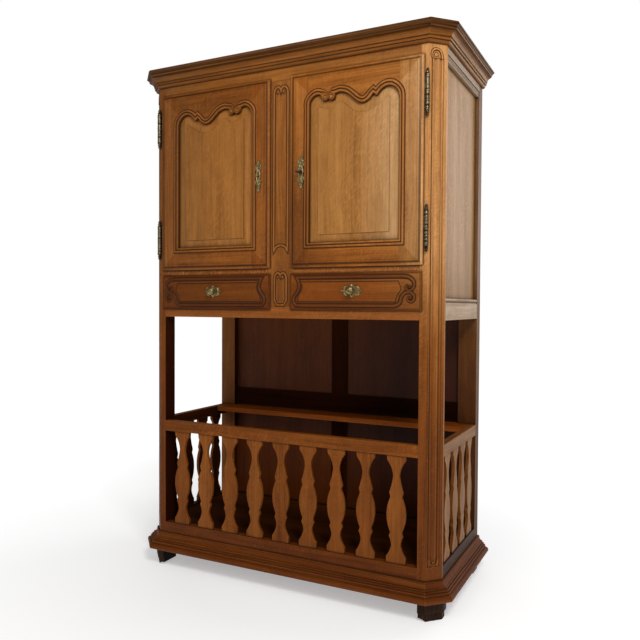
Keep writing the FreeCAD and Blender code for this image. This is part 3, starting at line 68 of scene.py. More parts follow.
def make_camera():
    ahead = Vector((-math.sin(YAW) * math.cos(PITCH), math.cos(YAW) * math.cos(PITCH), -math.sin(PITCH)))
    right = Vector((math.cos(YAW), math.sin(YAW), 0.0))
    up = right.cross(ahead)
    turned_right = right * math.cos(ROLL) + up * math.sin(ROLL)
    turned_up = up * math.cos(ROLL) - right * math.sin(ROLL)
    data = bpy.data.cameras.new("camera")
    data.sensor_width = SENSOR
    data.lens = FOCAL_PIXELS / PHOTO_SIDE * SENSOR
    data.shift_x = (PHOTO_SIDE / 2 - CENTRE_PIXEL[0]) / PHOTO_SIDE
    data.shift_y = (CENTRE_PIXEL[1] - PHOTO_SIDE / 2) / PHOTO_SIDE
    camera = bpy.data.objects.new("camera", data)
    turn = Matrix((turned_right, turned_up, -ahead)).transposed().to_4x4()
    camera.matrix_world = Matrix.Translation(CAMERA_PLACE) @ turn
    bpy.context.scene.collection.objects.link(camera)
    bpy.context.scene.camera = camera


# Light and floor
WHITE = (1.0, 1.0, 1.0, 1.0)
BACKDROP_STRENGTH = 1.0
AMBIENT_STRENGTH = 0.22
# Each lamp's place, aim, size, power in watts and spread in degrees
LIGHTS = {
    "key_light": ((2.0, -2.4, 3.1), (0.2, -0.2, 1.4), 1.0, 33.0, 110.0),
    "front_light": ((-0.1, -3.4, 2.7), (0.0, -0.2, 1.4), 1.4, 9.0, 120.0),
    "side_light": ((2.0, 3.0, 2.1), (0.6, 0.0, 1.4), 2.0, 22.0, 140.0),
}
FLOOR_HALF = 12.0
FLOOR_TONE = (0.84, 0.84, 0.84, 1.0)
FLOOR_ROUGHNESS = 0.9
# The floor's glow, as (near, far, at near, at far)
FLOOR_GLOW = (0.5, 2.6, 0.38, 0.84)


def area_light(name, place, aim, size, power, spread):
    data = bpy.data.lights.new(name, "AREA")
    data.shape = "SQUARE"
    data.size = size
    data.energy = power
    data.spread = math.radians(spread)
    light = bpy.data.objects.new(name, data)
    light.visible_camera = False
    turn = (Vector(aim) - Vector(place)).to_track_quat("-Z", "Y").to_matrix().to_4x4()
    light.matrix_world = Matrix.Translation(place) @ turn
    bpy.context.scene.collection.objects.link(light)


def make_light():
    """A white backdrop that lights the room less than it shows, and soft lamps."""
    world = bpy.data.worlds.new("studio")
    world.use_nodes = True
    nodes, links = world.node_tree.nodes, world.node_tree.links
    back = nodes["Background"]
    back.inputs["Color"].default_value = WHITE
    path = nodes.new("ShaderNodeLightPath")
    level = nodes.new("ShaderNodeMapRange")
    level.inputs["To Min"].default_value = AMBIENT_STRENGTH
    level.inputs["To Max"].default_value = BACKDROP_STRENGTH
    links.new(path.outputs["Is Camera Ray"], level.inputs["Value"])
    links.new(level.outputs["Result"], back.inputs["Strength"])
    scene = bpy.context.scene
    scene.world = world
    scene.view_settings.view_transform = "Standard"
    for name, settings in LIGHTS.items():
        area_light(name, *settings)


def make_floor():
    """A pale floor that brightens away from the object until it meets the backdrop."""
    mesh = bpy.data.meshes.new("floor")
    corners = [(x * FLOOR_HALF, y * FLOOR_HALF, 0) for x, y in ((-1, -1), (1, -1), (1, 1), (-1, 1))]
    mesh.from_pydata(corners, [], [(0, 1, 2, 3)])
    floor = bpy.data.objects.new("floor", mesh)
    bpy.context.scene.collection.objects.link(floor)
    graph = Graph("floor_paint")
    reach = graph.vector("LENGTH", graph.place())
    graph.end({
        "Roughness": FLOOR_ROUGHNESS,
        "Base Color": FLOOR_TONE,
        "Specular IOR Level": 0.0,
        "Emission Color": WHITE,
        "Emission Strength": graph.map_range(reach, *FLOOR_GLOW),
    })
    mesh.materials.append(graph.material)


# Materials
class Graph:
    """Adds the nodes of one material and joins them."""

    # Sockets of a mix node that take and give colours, and rays of a cavity node
    MIX_FIRST, MIX_SECOND, MIX_RESULT = 6, 7, 2
    CAVITY_SAMPLES = 6

    def __init__(self, name):
        self.material = bpy.data.materials.new(name)
        self.material.use_nodes = True
        self.tree = self.material.node_tree
        self.tree.nodes.clear()

    def add(self, kind, sockets=None, **settings):
        """A new node, with each socket joined to an output or set to a constant."""
        node = self.tree.nodes.new(kind)
        for key, value in settings.items():
            setattr(node, key, value)
        for socket, source in (sockets or {}).items():
            if isinstance(source, bpy.types.NodeSocket):
                self.tree.links.new(source, node.inputs[socket])
            else:
                node.inputs[socket].default_value = source
        return node

    def place(self):
        """The place on the piece, in the frame's axes at rest."""
        return self.add("ShaderNodeTexCoord").outputs["Object"]

    def normal(self):
        return self.add("ShaderNodeNewGeometry").outputs["True Normal"]

    def parts(self, vector):
        """The x, y and z of a vector."""
        return tuple(self.add("ShaderNodeSeparateXYZ", {0: vector}).outputs)

    def combine(self, x, y, z):
        return self.add("ShaderNodeCombineXYZ", {0: x, 1: y, 2: z}).outputs[0]

    def maths(self, operation, first, second=0.0):
        return self.add("ShaderNodeMath", {0: first, 1: second}, operation=operation).outputs[0]

    def times(self, first, second):
        return self.maths("MULTIPLY", first, second)

    def vector(self, operation, first, second=(0.0, 0.0, 0.0)):
        node = self.add("ShaderNodeVectorMath", {0: first, 1: second}, operation=operation)
        return node.outputs["Value" if operation in ("DOT_PRODUCT", "LENGTH") else "Vector"]

    def noise(self, place, detail, roughness, scale=1.0):
        sockets = {"Vector": place, "Scale": scale, "Detail": detail, "Roughness": roughness}
        return self.add("ShaderNodeTexNoise", sockets).outputs[0]

    def ramp(self, factor, stops):
        """A colour from (place, colour) stops."""
        node = self.add("ShaderNodeValToRGB", {"Fac": factor})
        elements = node.color_ramp.elements
        while len(elements) < len(stops):
            elements.new(0.5)
        for element, (place, colour) in zip(elements, stops):
            element.position = place
            element.color = (*colour, 1.0)
        return node.outputs["Color"]

    def mix(self, factor, first, second, blend="MIX"):
        sockets = {"Factor": factor, self.MIX_FIRST: first, self.MIX_SECOND: second}
        node = self.add("ShaderNodeMix", sockets, data_type="RGBA", blend_type=blend)
        return node.outputs[self.MIX_RESULT]

    def cavity(self, distance, inside=False):
        """1 on open faces, less in a corner, or near an edge where inside is set."""
        settings = {"samples": self.CAVITY_SAMPLES, "inside": inside}
        return self.add("ShaderNodeAmbientOcclusion", {"Distance": distance}, **settings).outputs["AO"]

    def map_range(self, value, low, high, at_low, at_high):
        sockets = dict(enumerate((value, low, high, at_low, at_high)))
        return self.add("ShaderNodeMapRange", sockets).outputs[0]

    def rise(self, value, low, high):
        """0 at low and 1 at high, and level beyond them."""
        return self.map_range(value, low, high, 0.0, 1.0)

    def bump(self, height, strength, distance):
        sockets = {"Height": height, "Strength": strength, "Distance": distance}
        return self.add("ShaderNodeBump", sockets).outputs[0]

    def end(self, sockets):
        """End the material with a surface, its sockets fed by name."""
        shader = self.add("ShaderNodeBsdfPrincipled", sockets)
        self.add("ShaderNodeOutputMaterial", {"Surface": shader.outputs[0]})


OAK_KINDS = {
    # Dark, middle and light tone, strength of the ray flecks and of the blotches,
    # turn of the flecks from the grain in degrees, roughness and shine
    "frame": {
        "tones": ((0.170, 0.055, 0.009), (0.300, 0.110, 0.022), (0.420, 0.175, 0.045)),
        "fleck": 0.24, "mottle": 0.14, "turn": 62.0, "roughness": 0.48, "shine": 0.10,
    },
    "panel": {
        "tones": ((0.230, 0.092, 0.017), (0.350, 0.150, 0.034), (0.440, 0.205, 0.056)),
        "fleck": 0.32, "mottle": 0.10, "turn": 28.0, "roughness": 0.46, "shine": 0.16,
    },
    "inside": {
        "tones": ((0.045, 0.013, 0.002), (0.092, 0.028, 0.006), (0.140, 0.046, 0.011)),
        "fleck": 0.15, "mottle": 0.12, "turn": 40.0, "roughness": 0.70, "shine": 0.03,
    },
    "dark": {
        "tones": ((0.020, 0.010, 0.006), (0.050, 0.024, 0.013), (0.090, 0.048, 0.028)),
        "fleck": 0.10, "mottle": 0.20, "turn": 40.0, "roughness": 0.60, "shine": 0.10,
    },
}
# Noises of the wood: scale along the grain, across it and through the board,
# then detail and roughness
WANDER = ((1.6, 5.0, 5.0), 2.0, 0.5)
BANDS = ((1.1, 16.0, 16.0), 3.0, 0.55)
LINES = ((3.5, 150.0, 150.0), 4.0, 0.62)
PORES = ((60.0, 1300.0, 1300.0), 2.0, 0.6)
BLOTCHES = ((13.0, 30.0, 30.0), 3.0, 0.6)
RAYS = ((55.0, 250.0, 55.0), 2.0, 0.5)
RAY_PATCHES = ((4.0, 9.0, 9.0), 2.0, 0.5)
WANDER_REACH = 0.05
# How far luck moves the grain along, across and through a board
LUCK_SHIFTS = (7.3, 3.1, 5.7)
# Gives a face that looks straight up or down a level line too
RUN_NUDGE = (0.002, 0.001, 0.0)
# What the noises, the wax and the painted shade do, as (low, high, at low, at high)
RAY_RANGE = (0.50, 0.66, 0.0, 1.0)
RAY_PATCH_RANGE = (0.40, 0.60, 0.15, 1.0)
PORE_RANGE = (0.30, 0.44, 0.60, 1.0)
BOARD_RANGE = (0.0, 1.0, 0.90, 1.08)
NEAR_WAX_RANGE = (0.45, 0.94, 0.92, 0.0)
FAR_SHADE_RANGE = (0.25, 0.88, 0.60, 0.0)
WORN_RANGE = (0.35, 0.90, 0.20, 0.0)
CARVED_WORN_RANGE = (0.0, 0.2, 0.16, 0.0)
BLOTCH_ENDS = (0.30, 0.70)
DULL_ENDS = (0.3, 0.7)
DULLER, GLOSSIER = 0.08, 0.05
WAX_DULLNESS = 0.2
BAND_SHARE, LINE_SHARE = 0.55, 0.45
TONE_STOPS = (0.32, 0.50, 0.68)
FLECK_SHARE, WORN_SHARE = 1.35, 1.15
PAINTED_SHARE = 0.88
# Relief of the grain lines and of the pores, its strength and its depth
LINE_RELIEF, PORE_RELIEF = 0.5, 0.8
OAK_BUMP = (0.35, 0.0005)
# Wax and painted shade in the corners and in the carving's quirks, and the reach of a corner and of an
# edge
WAX_AND_SHADE_TONE = (0.020, 0.008, 0.003, 1.0)
QUIRK_WAX_AND_SHADE_TONE = (0.034, 0.011, 0.003, 1.0)
NEAR_CORNER, FAR_CORNER = 0.007, 0.022
WORN_EDGE = 0.003

# How much some boards differ from their kind, as red, green and blue shares
PLAIN_TINT = (1.0, 1.0, 1.0)
TINTS = {
    "right_door_stiles": (0.82, 0.74, 0.60),
    "left_door_stiles": (0.76, 0.64, 0.48),
    "right_door_top_rail": (0.78, 0.66, 0.40),
    "right_door_bottom_rail": (0.86, 0.71, 0.42),
    "right_door_bead": (0.84, 0.74, 0.56),
    "right_door_volutes": (0.90, 0.80, 0.60),
    "left_door_top_rail": (0.58, 0.47, 0.30),
    "left_door_bottom_rail": (0.66, 0.54, 0.36),
    "left_door_bead": (0.68, 0.58, 0.42),
    "left_door_volutes": (0.74, 0.64, 0.46),
    "left_door_panel": (0.70, 0.61, 0.47),
    "right_door_panel": (0.81, 0.77, 0.70),
    "frieze_rail": (0.66, 0.58, 0.40),
    "cornice": (0.56, 0.50, 0.36),
    "centre_muntin": (0.78, 0.72, 0.62),
    "right_drawer_front": (0.46, 0.32, 0.14),
    "left_drawer_front": (0.38, 0.25, 0.12),
    "right_drawer_bead": (0.36, 0.24, 0.12),
    "left_drawer_bead": (0.30, 0.20, 0.10),
    "right_drawer_field": (0.50, 0.33, 0.13),
    "left_drawer_field": (0.38, 0.26, 0.10),
    "middle_rails": (0.80, 0.66, 0.56),
    "lower_front_rail": (0.82, 0.68, 0.56),
    "gallery_front_rail": (1.15, 1.02, 0.70),
    "front_balusters": (1.20, 1.12, 0.95),
    "front_right_post": (0.90, 0.76, 0.54),
    "front_left_post": (0.72, 0.58, 0.42),
    "plinth_front_rail": (0.84, 0.66, 0.42),
    "base_moulding": (0.80, 0.62, 0.40),
    "side_plinth_rails": (0.20, 0.13, 0.09),
    "side_panels": (0.54, 0.42, 0.22),
    "side_top_rails": (0.64, 0.80, 1.15),
    "side_lower_rails": (0.88, 1.12, 1.60),
    "rear_right_post": (0.37, 0.34, 0.36),
    "back_panels": (0.40, 0.22, 0.04),
    "back_rails": (0.45, 0.30, 0.14),
    "back_stiles": (0.45, 0.30, 0.14),
    "back_ledge": (1.10, 0.80, 0.34),
}
# Strength of the ray flecks on boards that differ from their kind
FLECKS = {
    "middle_rails": 0.95,
    "gallery_front_rail": 0.50,
    "lower_front_rail": 0.35,
    "centre_muntin": 0.12,
    "cornice": 0.10,
}
# The lip of each door: its middle and half its size, and its stripes of painted
# shade and highlight as (metres from its edge inward, share)
LIP_MIDDLE = (0.290, 1.513)
LIP_HALF = (0.248, 0.341)
LIP_SHADE_STRIPES = (
    (0.0, 0.40), (0.0010, 0.50), (0.0025, 1.05), (0.0085, 1.16), (0.0105, 0.55), (0.0125, 0.32),
    (0.0145, 0.42), (0.0170, 1.05), (0.0195, 0.95), (0.0215, 0.72), (0.0235, 1.0),
)
# What a stile takes on beyond the mitre, and how wide the mitre's line is
RAIL_LOOK = (0.84, 0.76, 0.56)
MITRE_WIDTH = 0.001
# Above the stand a painted sheen pales the wood towards the light on the right, and painted
# shade makes it cooler and darker towards the left
SHEEN_SHARE = (1.48, 2.12, 4.40)
SHEEN_SIDE = (0.30, 0.54)
LEFT_SHADE_SHARE = (0.80, 0.88, 1.25)
LEFT_SHADE_SIDE = (-0.28, -0.52)
ABOVE_STAND = (0.92, 1.20)
RAIL_SHEEN = 0.30
BASE_SHEEN = 0.15
# How far a face looks sideways times its distance from the middle: the outer
# faces of the sides get a painted sheen, and the stand's inner ones painted shade
OUTER_FACING = (0.46, 0.52)
INNER_FACING = (-0.44, -0.50)
IN_STAND = (1.02, 0.98)
SHADED_SHARE = (0.20, 0.13, 0.08)
# Darker towards the floor: painted shade where less light reaches, with some darker old wood, as (low,
# high, at low, at high)
LOW_SHADE_TONE = (0.42, 0.31, 0.15, 1.0)
LOW_SHADE_RANGE = (0.60, 1.24, 0.85, 0.0)
# Painted shade and highlight stripes on the cornice's mouldings from its foot up, as (height, share)
CORNICE_SHADE_STRIPES = (
    (1.8870, 0.90), (1.8900, 1.00), (1.9225, 1.00), (1.9245, 0.40), (1.9265, 0.40), (1.9280, 1.12),
    (1.9320, 1.08), (1.9335, 0.30), (1.9360, 0.30), (1.9375, 0.50), (1.9500, 0.50),
)
# Painted sheen: the outer faces of the cornice are the palest
CORNICE_SHEEN = (1.18, 1.36, 1.65)
# The rail below the doors lies in the shadow of their lips
LIP_SHADOW = ((1.1500, 1.00), (1.1610, 1.00), (1.1660, 0.50), (1.1720, 0.32), (1.1800, 0.32))
# The right door is darker low down by its lock
DARK_BY_LOCK_NODES = ("right_door_stiles", "right_door_bottom_rail", "right_door_top_rail")
DARK_BY_LOCK_SHARE = (0.55, 0.50, 0.46)
DARK_BY_LOCK_BELOW = (1.64, 1.40)
DARK_BY_LOCK_INWARD = (0.24, 0.09)
# Painted shade: the right half of the stand's back, shaded by its right side, is the darker one
BACK_NODES = ("back_panels", "back_rails", "back_stiles")
BACK_SHADE_SHARE = (0.42, 0.34, 0.26)
BACK_SHADE_SIDE = (-0.05, 0.25)


def toned(tone, share):
    """A tone times a share, as a colour."""
    return (*[min(1.0, value * share) for value in tone], 1.0)


def board_axes(graph, grain, luck):
    """The place along the grain, across it and through the board."""
    place = graph.place()
    if grain == "run":
        level = graph.vector("CROSS_PRODUCT", graph.normal(), UP)
        level = graph.vector("NORMALIZE", graph.vector("ADD", level, RUN_NUDGE))
        outward = graph.vector("CROSS_PRODUCT", level, UP)
        axes = [graph.vector("DOT_PRODUCT", place, way) for way in (level, UP, outward)]
    else:
        parts = graph.parts(place)
        order = {"X": (0, 2, 1), "Y": (1, 2, 0), "Z": (2, 0, 1)}[grain]
        axes = [parts[i] for i in order]
    return [graph.maths("ADD", axis, graph.times(luck, shift)) for axis, shift in zip(axes, LUCK_SHIFTS)]


def shade_and_sheen(graph, colour, node):
    """Painted shade towards the floor, with some darker old wood, a painted sheen on the right and cooler
    painted shade on the left.
    """
    side, _, height = graph.parts(graph.place())
    # Painted shade towards the floor, with some darker old wood
    colour = graph.mix(graph.map_range(height, *LOW_SHADE_RANGE), colour, LOW_SHADE_TONE, "MULTIPLY")
    # Painted shade and highlight stripes on the cornice
    if node == "cornice":
        colour = striped(graph, colour, height, CORNICE_SHADE_STRIPES)
    if node == "middle_rails":
        colour = striped(graph, colour, height, LIP_SHADOW)
    # Painted shade on the right of the stand's back
    if node in BACK_NODES:
        colour = share_of(graph, colour, BACK_SHADE_SHARE, graph.rise(side, *BACK_SHADE_SIDE))
    if node in DARK_BY_LOCK_NODES:
        dark_by_lock = graph.times(graph.rise(height, *DARK_BY_LOCK_BELOW), graph.rise(side, *DARK_BY_LOCK_INWARD))
        colour = share_of(graph, colour, DARK_BY_LOCK_SHARE, dark_by_lock)
    # Painted sheen on the right and painted shade on the left, above the stand
    above = graph.rise(height, *ABOVE_STAND)
    sheen = graph.times(above, graph.rise(side, *SHEEN_SIDE))
    left_shade = graph.times(above, graph.rise(side, *LEFT_SHADE_SIDE))
    # Painted sheen on the outer faces of the sides
    if BODY_OF.get(node) == "carcass":
        away = graph.times(graph.parts(graph.normal())[0], side)
        outer = graph.rise(away, *OUTER_FACING)
        if node == "cornice":
            colour = share_of(graph, colour, CORNICE_SHEEN, outer)
            sheen = outer
        elif node == "base_moulding":
            sheen = graph.times(outer, BASE_SHEEN)
        else:
            sheen = graph.maths("MAXIMUM", sheen, outer)
        # Painted shade on the stand's inner faces
        inner = graph.times(graph.rise(away, *INNER_FACING), graph.rise(height, *IN_STAND))
        colour = share_of(graph, colour, SHADED_SHARE, inner)
    if node.endswith("rail") or node == "middle_rails":
        sheen = graph.times(sheen, RAIL_SHEEN)
    colour = share_of(graph, colour, SHEEN_SHARE, sheen)
    return share_of(graph, colour, LEFT_SHADE_SHARE, left_shade)


def door_edges(graph, colour, node):
    """The painted shade and highlight stripes of a door's lip, and its rails running out to mitred ends.
    """
    side, _, height = graph.parts(graph.place())
    side = graph.maths("SUBTRACT", graph.maths("ABSOLUTE", side), LIP_MIDDLE[0])
    height = graph.maths("SUBTRACT", height, LIP_MIDDLE[1])
    from_side = graph.maths("SUBTRACT", LIP_HALF[0], graph.maths("ABSOLUTE", side))
    from_end = graph.maths("SUBTRACT", LIP_HALF[1], graph.maths("ABSOLUTE", height))
    if node.endswith("stiles"):
        beyond = graph.maths("SUBTRACT", from_side, from_end)
        colour = share_of(graph, colour, RAIL_LOOK, graph.rise(beyond, 0.0, MITRE_WIDTH))
    return striped(graph, colour, graph.maths("MINIMUM", from_side, from_end), LIP_SHADE_STRIPES)


def striped(graph, colour, place, stripes):
    """The colour in stripes of (place, share), the first and last running on.
    The ramp holds half of each share, as it takes nothing above 1."""
    first, last = stripes[0][0], stripes[-1][0]
    stops = [((at - first) / (last - first), (share / 2,) * 3) for at, share in stripes]
    halves = graph.ramp(graph.rise(place, first, last), stops)
    return graph.vector("MULTIPLY", colour, graph.vector("MULTIPLY", halves, (2.0, 2.0, 2.0)))


def share_of(graph, colour, share, factor):
    """The colour times a share of red, green and blue, as far as factor goes."""
    parts = [graph.map_range(factor, 0.0, 1.0, 1.0, part) for part in share]
    return graph.vector("MULTIPLY", colour, graph.combine(*parts))


def wood_noise(graph, axes, look):
    scales, detail, roughness = look
    place = graph.combine(*[graph.times(axis, scale) for axis, scale in zip(axes, scales)])
    return graph.noise(place, detail, roughness)


def oak(name, kind, grain, tint, node, carved):
    """Waxed oak: bands, grain lines, pores and ray flecks, with dark wax and painted
    shade in the corners and paler worn edges. grain is the axis along the board. On a
    carved piece the wax and shade painted on it say where it is worn."""
    look = OAK_KINDS[kind]
    dark, middle, light = [[a * b for a, b in zip(tone, tint)] for tone in look["tones"]]
    graph = Graph(name)
    luck = graph.add("ShaderNodeNewGeometry").outputs["Random Per Island"]
    axes = board_axes(graph, grain, luck)
    wander = graph.maths("SUBTRACT", wood_noise(graph, axes, WANDER), 0.5)
    axes[1] = graph.maths("ADD", axes[1], graph.times(wander, WANDER_REACH))
    along, across, through = axes
    bands = wood_noise(graph, axes, BANDS)
    lines = wood_noise(graph, axes, LINES)
    streak = graph.map_range(wood_noise(graph, axes, PORES), *PORE_RANGE)

    cosine, sine = math.cos(math.radians(look["turn"])), math.sin(math.radians(look["turn"]))
    down = graph.maths("ADD", graph.times(along, cosine), graph.times(across, sine))
    sideways = graph.maths("SUBTRACT", graph.times(across, cosine), graph.times(along, sine))
    rays = graph.map_range(wood_noise(graph, (down, sideways, through), RAYS), *RAY_RANGE)
    rays = graph.times(rays, graph.map_range(wood_noise(graph, axes, RAY_PATCHES), *RAY_PATCH_RANGE))

    tone = graph.maths("ADD", graph.times(bands, BAND_SHARE), graph.times(lines, LINE_SHARE))
    colour = graph.ramp(tone, list(zip(TONE_STOPS, (dark, middle, light))))
    shade = graph.times(graph.map_range(luck, *BOARD_RANGE), streak)
    mottle = look["mottle"]
    uneven = graph.map_range(wood_noise(graph, axes, BLOTCHES), *BLOTCH_ENDS, 1.0 - mottle, 1.0 + mottle)
    shade = graph.times(shade, uneven)
    colour = graph.mix(1.0, colour, graph.combine(shade, shade, shade), "MULTIPLY")
    fleck = FLECKS.get(node, look["fleck"])
    colour = graph.mix(graph.times(rays, fleck), colour, toned(light, FLECK_SHARE))

    colour = shade_and_sheen(graph, colour, node)
    if not carved and node.endswith(("door_stiles", "door_top_rail", "door_bottom_rail")):
        colour = door_edges(graph, colour, node)

    # Dark wax in the corners, with painted shade reaching further out from them
    near = graph.map_range(graph.cavity(NEAR_CORNER), *NEAR_WAX_RANGE)
    far = graph.map_range(graph.cavity(FAR_CORNER), *FAR_SHADE_RANGE)
    wax_and_shade = graph.maths("MAXIMUM", near, far)
    colour = graph.mix(wax_and_shade, colour, WAX_AND_SHADE_TONE)
    if carved:
        painted = graph.add("ShaderNodeAttribute", attribute_name="wax_and_shade").outputs["Fac"]
        worn = graph.map_range(painted, *CARVED_WORN_RANGE)
    else:
        worn = graph.map_range(graph.cavity(WORN_EDGE, inside=True), *WORN_RANGE)
    colour = graph.mix(worn, colour, toned(light, WORN_SHARE))
    if carved:
        # The carving's quirks hold wax and painted shade
        painted = graph.times(painted, PAINTED_SHARE)
        colour = graph.mix(painted, colour, QUIRK_WAX_AND_SHADE_TONE)
        wax_and_shade = graph.maths("MAXIMUM", wax_and_shade, painted)

    roughness = look["roughness"]
    dull = graph.map_range(tone, *DULL_ENDS, roughness + DULLER, roughness - GLOSSIER)
    height = graph.maths("ADD", graph.times(lines, LINE_RELIEF), graph.times(streak, PORE_RELIEF))
    graph.end({
        "Base Color": colour,
        "Specular IOR Level": look["shine"],
        "Roughness": graph.maths("ADD", dull, graph.times(wax_and_shade, WAX_DULLNESS)),
        "Normal": graph.bump(height, *OAK_BUMP),
    })
    return graph.material


# Old metal: its stains, as (detail, roughness, scale), the reach of a corner and
# of an edge, and what these do, as (low, high, at low, at high)
STAIN = (4.0, 0.65, 160.0)
STAIN_STOPS = (0.40, 0.60)
TURNED_STRETCH = (0.25, 0.25, 1.0)
METAL_CORNER, METAL_EDGE = 0.006, 0.002
METAL_DARK_RANGE = (0.3, 0.95, 0.85, 0.0)
METAL_BRIGHT_RANGE = (0.35, 0.9, 0.55, 0.0)
METAL_DARK, METAL_BRIGHT = 0.25, 1.4
METAL_DULLER, METAL_GLOSSIER = 0.15, 0.05
METAL_BUMP = (0.3, 0.0006)
METALS = {
    # Dark and light tone, roughness, and whether it is ringed along its length
    "brass": ((0.070, 0.055, 0.020), (0.37, 0.27, 0.12), 0.38, False),
    "bronze": ((0.010, 0.007, 0.004), (0.17, 0.135, 0.08), 0.38, True),
    "iron": ((0.020, 0.014, 0.012), (0.10, 0.074, 0.066), 0.48, False),
}


def metal(name, dark, light, roughness, turned):
    """Bright on its high places, dull and dark in its corners."""
    graph = Graph(name)
    place = graph.place()
    if turned:
        place = graph.vector("MULTIPLY", place, TURNED_STRETCH)
    stain = graph.noise(place, *STAIN)
    colour = graph.ramp(stain, list(zip(STAIN_STOPS, (dark, light))))
    corner = graph.map_range(graph.cavity(METAL_CORNER), *METAL_DARK_RANGE)
    colour = graph.mix(corner, colour, toned(dark, METAL_DARK))
    edge = graph.map_range(graph.cavity(METAL_EDGE, inside=True), *METAL_BRIGHT_RANGE)
    colour = graph.mix(edge, colour, toned(light, METAL_BRIGHT))
    duller, glossier = roughness + METAL_DULLER, roughness - METAL_GLOSSIER
    graph.end({
        "Metallic": 1.0,
        "Base Color": colour,
        "Roughness": graph.map_range(stain, *DULL_ENDS, duller, glossier),
        "Normal": graph.bump(stain, *METAL_BUMP),
    })
    return graph.material


MATERIALS = {}


def material_for(slot, grain, node, name=None):
    """The material of a slot, made once for each way the grain runs, for each
    board with a look of its own and for each piece added with a tint. name is
    the name of an added piece."""
    tinted = name if name in TINTS else node
    key = slot
    if slot.startswith("oak"):
        key = f"{slot}_{grain.lower()}"
        if BODY_OF.get(node) != "carcass":
            key = f"{key}_moving"
        if tinted in TINTS or node in FLECKS or node in TINTS:
            key = f"{key}_{tinted}"
        if name:
            key = f"{key}_carved"
        if "_door_" in node:
            key = f"{key}_{node}"
    if key not in MATERIALS:
        if slot in METALS:
            MATERIALS[key] = metal(key, *METALS[slot])
        else:
            tint = TINTS.get(tinted, PLAIN_TINT)
            MATERIALS[key] = oak(key, slot.split("_")[1], grain, tint, node, bool(name))
    return MATERIALS[key]


# How the grain runs in each board
GRAIN_ALONG_X = (
    "frieze_rail", "lower_front_rail", "middle_rails", "gallery_front_rail", "plinth_front_rail",
    "back_rails", "back_ledge", "shelf", "cupboard_floor", "dustboard", "gallery_floor", "top_board",
    "top_rail", "bottom_rail", "drawer_front", "drawer_bottom",
)
GRAIN_ALONG_Y = (
    "side_lower_rails", "side_top_rails", "side_gallery_rails", "side_plinth_rails", "cleats",
    "drawer_runners", "drawer_guides", "drawer_box",
)
GRAIN_ALONG_RUN = ("cornice", "base_moulding")
EDGE_ROUNDING = {"front_balusters": 1.6 * MM, "side_balusters": 1.6 * MM, "front_feet": 3.0 * MM}
PLAIN_ROUNDING = 0.9 * MM
SHARP_DEGREES = 28.0
JOIN_DISTANCE = 0.02 * MM


def grain_of(node):
    for grain, ends in (("run", GRAIN_ALONG_RUN), ("Y", GRAIN_ALONG_Y), ("X", GRAIN_ALONG_X)):
        if node.endswith(ends):
            return grain
    return "Z"


def shading_group():
    """Joins the faces of an imported solid and keeps its corners sharp."""
    group = bpy.data.node_groups.new("solid_shading", "GeometryNodeTree")
    for way in ("INPUT", "OUTPUT"):
        group.interface.new_socket("Geometry", in_out=way, socket_type="NodeSocketGeometry")
    nodes, links = group.nodes, group.links
    start = nodes.new("NodeGroupInput")
    forget = nodes.new("GeometryNodeRemoveAttribute")
    forget.inputs["Name"].default_value = "custom_normal"
    join = nodes.new("GeometryNodeMergeByDistance")
    join.inputs["Distance"].default_value = JOIN_DISTANCE
    smooth = nodes.new("GeometryNodeSetShadeSmooth")
    smooth.domain = "FACE"
    smooth.inputs["Shade Smooth"].default_value = True
    angle = nodes.new("GeometryNodeInputMeshEdgeAngle")
    steep = nodes.new("ShaderNodeMath")
    steep.operation = "GREATER_THAN"
    steep.inputs[1].default_value = math.radians(SHARP_DEGREES)
    sharp = nodes.new("GeometryNodeSetShadeSmooth")
    sharp.domain = "EDGE"
    sharp.inputs["Shade Smooth"].default_value = False
    finish = nodes.new("NodeGroupOutput")
    chain = (start, forget, join, smooth, sharp, finish)
    for before, after in zip(chain, chain[1:]):
        links.new(before.outputs[0], after.inputs[0])
    links.new(angle.outputs["Unsigned Angle"], steep.inputs[0])
    links.new(steep.outputs[0], sharp.inputs["Selection"])
    return group


def dress(node, piece, group):
    """Give a CAD node its material, joined edges and a small rounding."""
    slot = SLOT_OF[node]
    piece.data.materials.clear()
    piece.data.materials.append(material_for(slot, grain_of(node), node))
    shading = piece.modifiers.new("shading", "NODES")
    shading.node_group = group
    if slot.startswith("oak"):
        rounding = piece.modifiers.new("rounding", "BEVEL")
        rounding.width = EDGE_ROUNDING.get(node, PLAIN_ROUNDING)
        rounding.segments = 2
        rounding.limit_method = "ANGLE"
        rounding.angle_limit = math.radians(SHARP_DEGREES)
        rounding.harden_normals = True


def dress_frame():
    group = shading_group()
    for node, piece in NODES.items():
        dress(node, piece, group)


# Carved beads, in millimetres: the space between the points of a curved line,
# how many of these a straight one takes, the least cosine that a mitre is
# stretched by, and how far a point may come nearer to the line than its offset
STEP = 1.6
STRAIGHT_STEPS = 6
LEAST_COSINE = 0.4
OVERLAP_SLACK = 0.25
# The share of a bead's height that is left where its size runs out
HEIGHT_LEFT = 0.35
# Shorter edges are dissolved
THINNEST = 0.01 * MM
PIECE_SHARP_DEGREES = 38.0
# Buttons as (radius share, height share, wax and painted shade), where no height is the foot
PLAIN_BUTTON = (
    (1.0, None, 1.0), (1.0, 0.0, 0.8), (0.95, 0.34, 0.2), (0.74, 0.72, 0.0), (0.4, 0.93, 0.0),
    (0.0, 1.0, 0.0),
)
RINGED_BUTTON = (
    (1.0, None, 1.0), (1.0, 0.0, 0.8), (0.94, 0.52, 0.1), (0.80, 0.66, 0.0), (0.66, 0.34, 0.9),
    (0.58, 0.36, 0.9), (0.46, 0.84, 0.0), (0.25, 0.98, 0.0), (0.0, 1.0, 0.0),
)
BUTTON_SIDES = 20


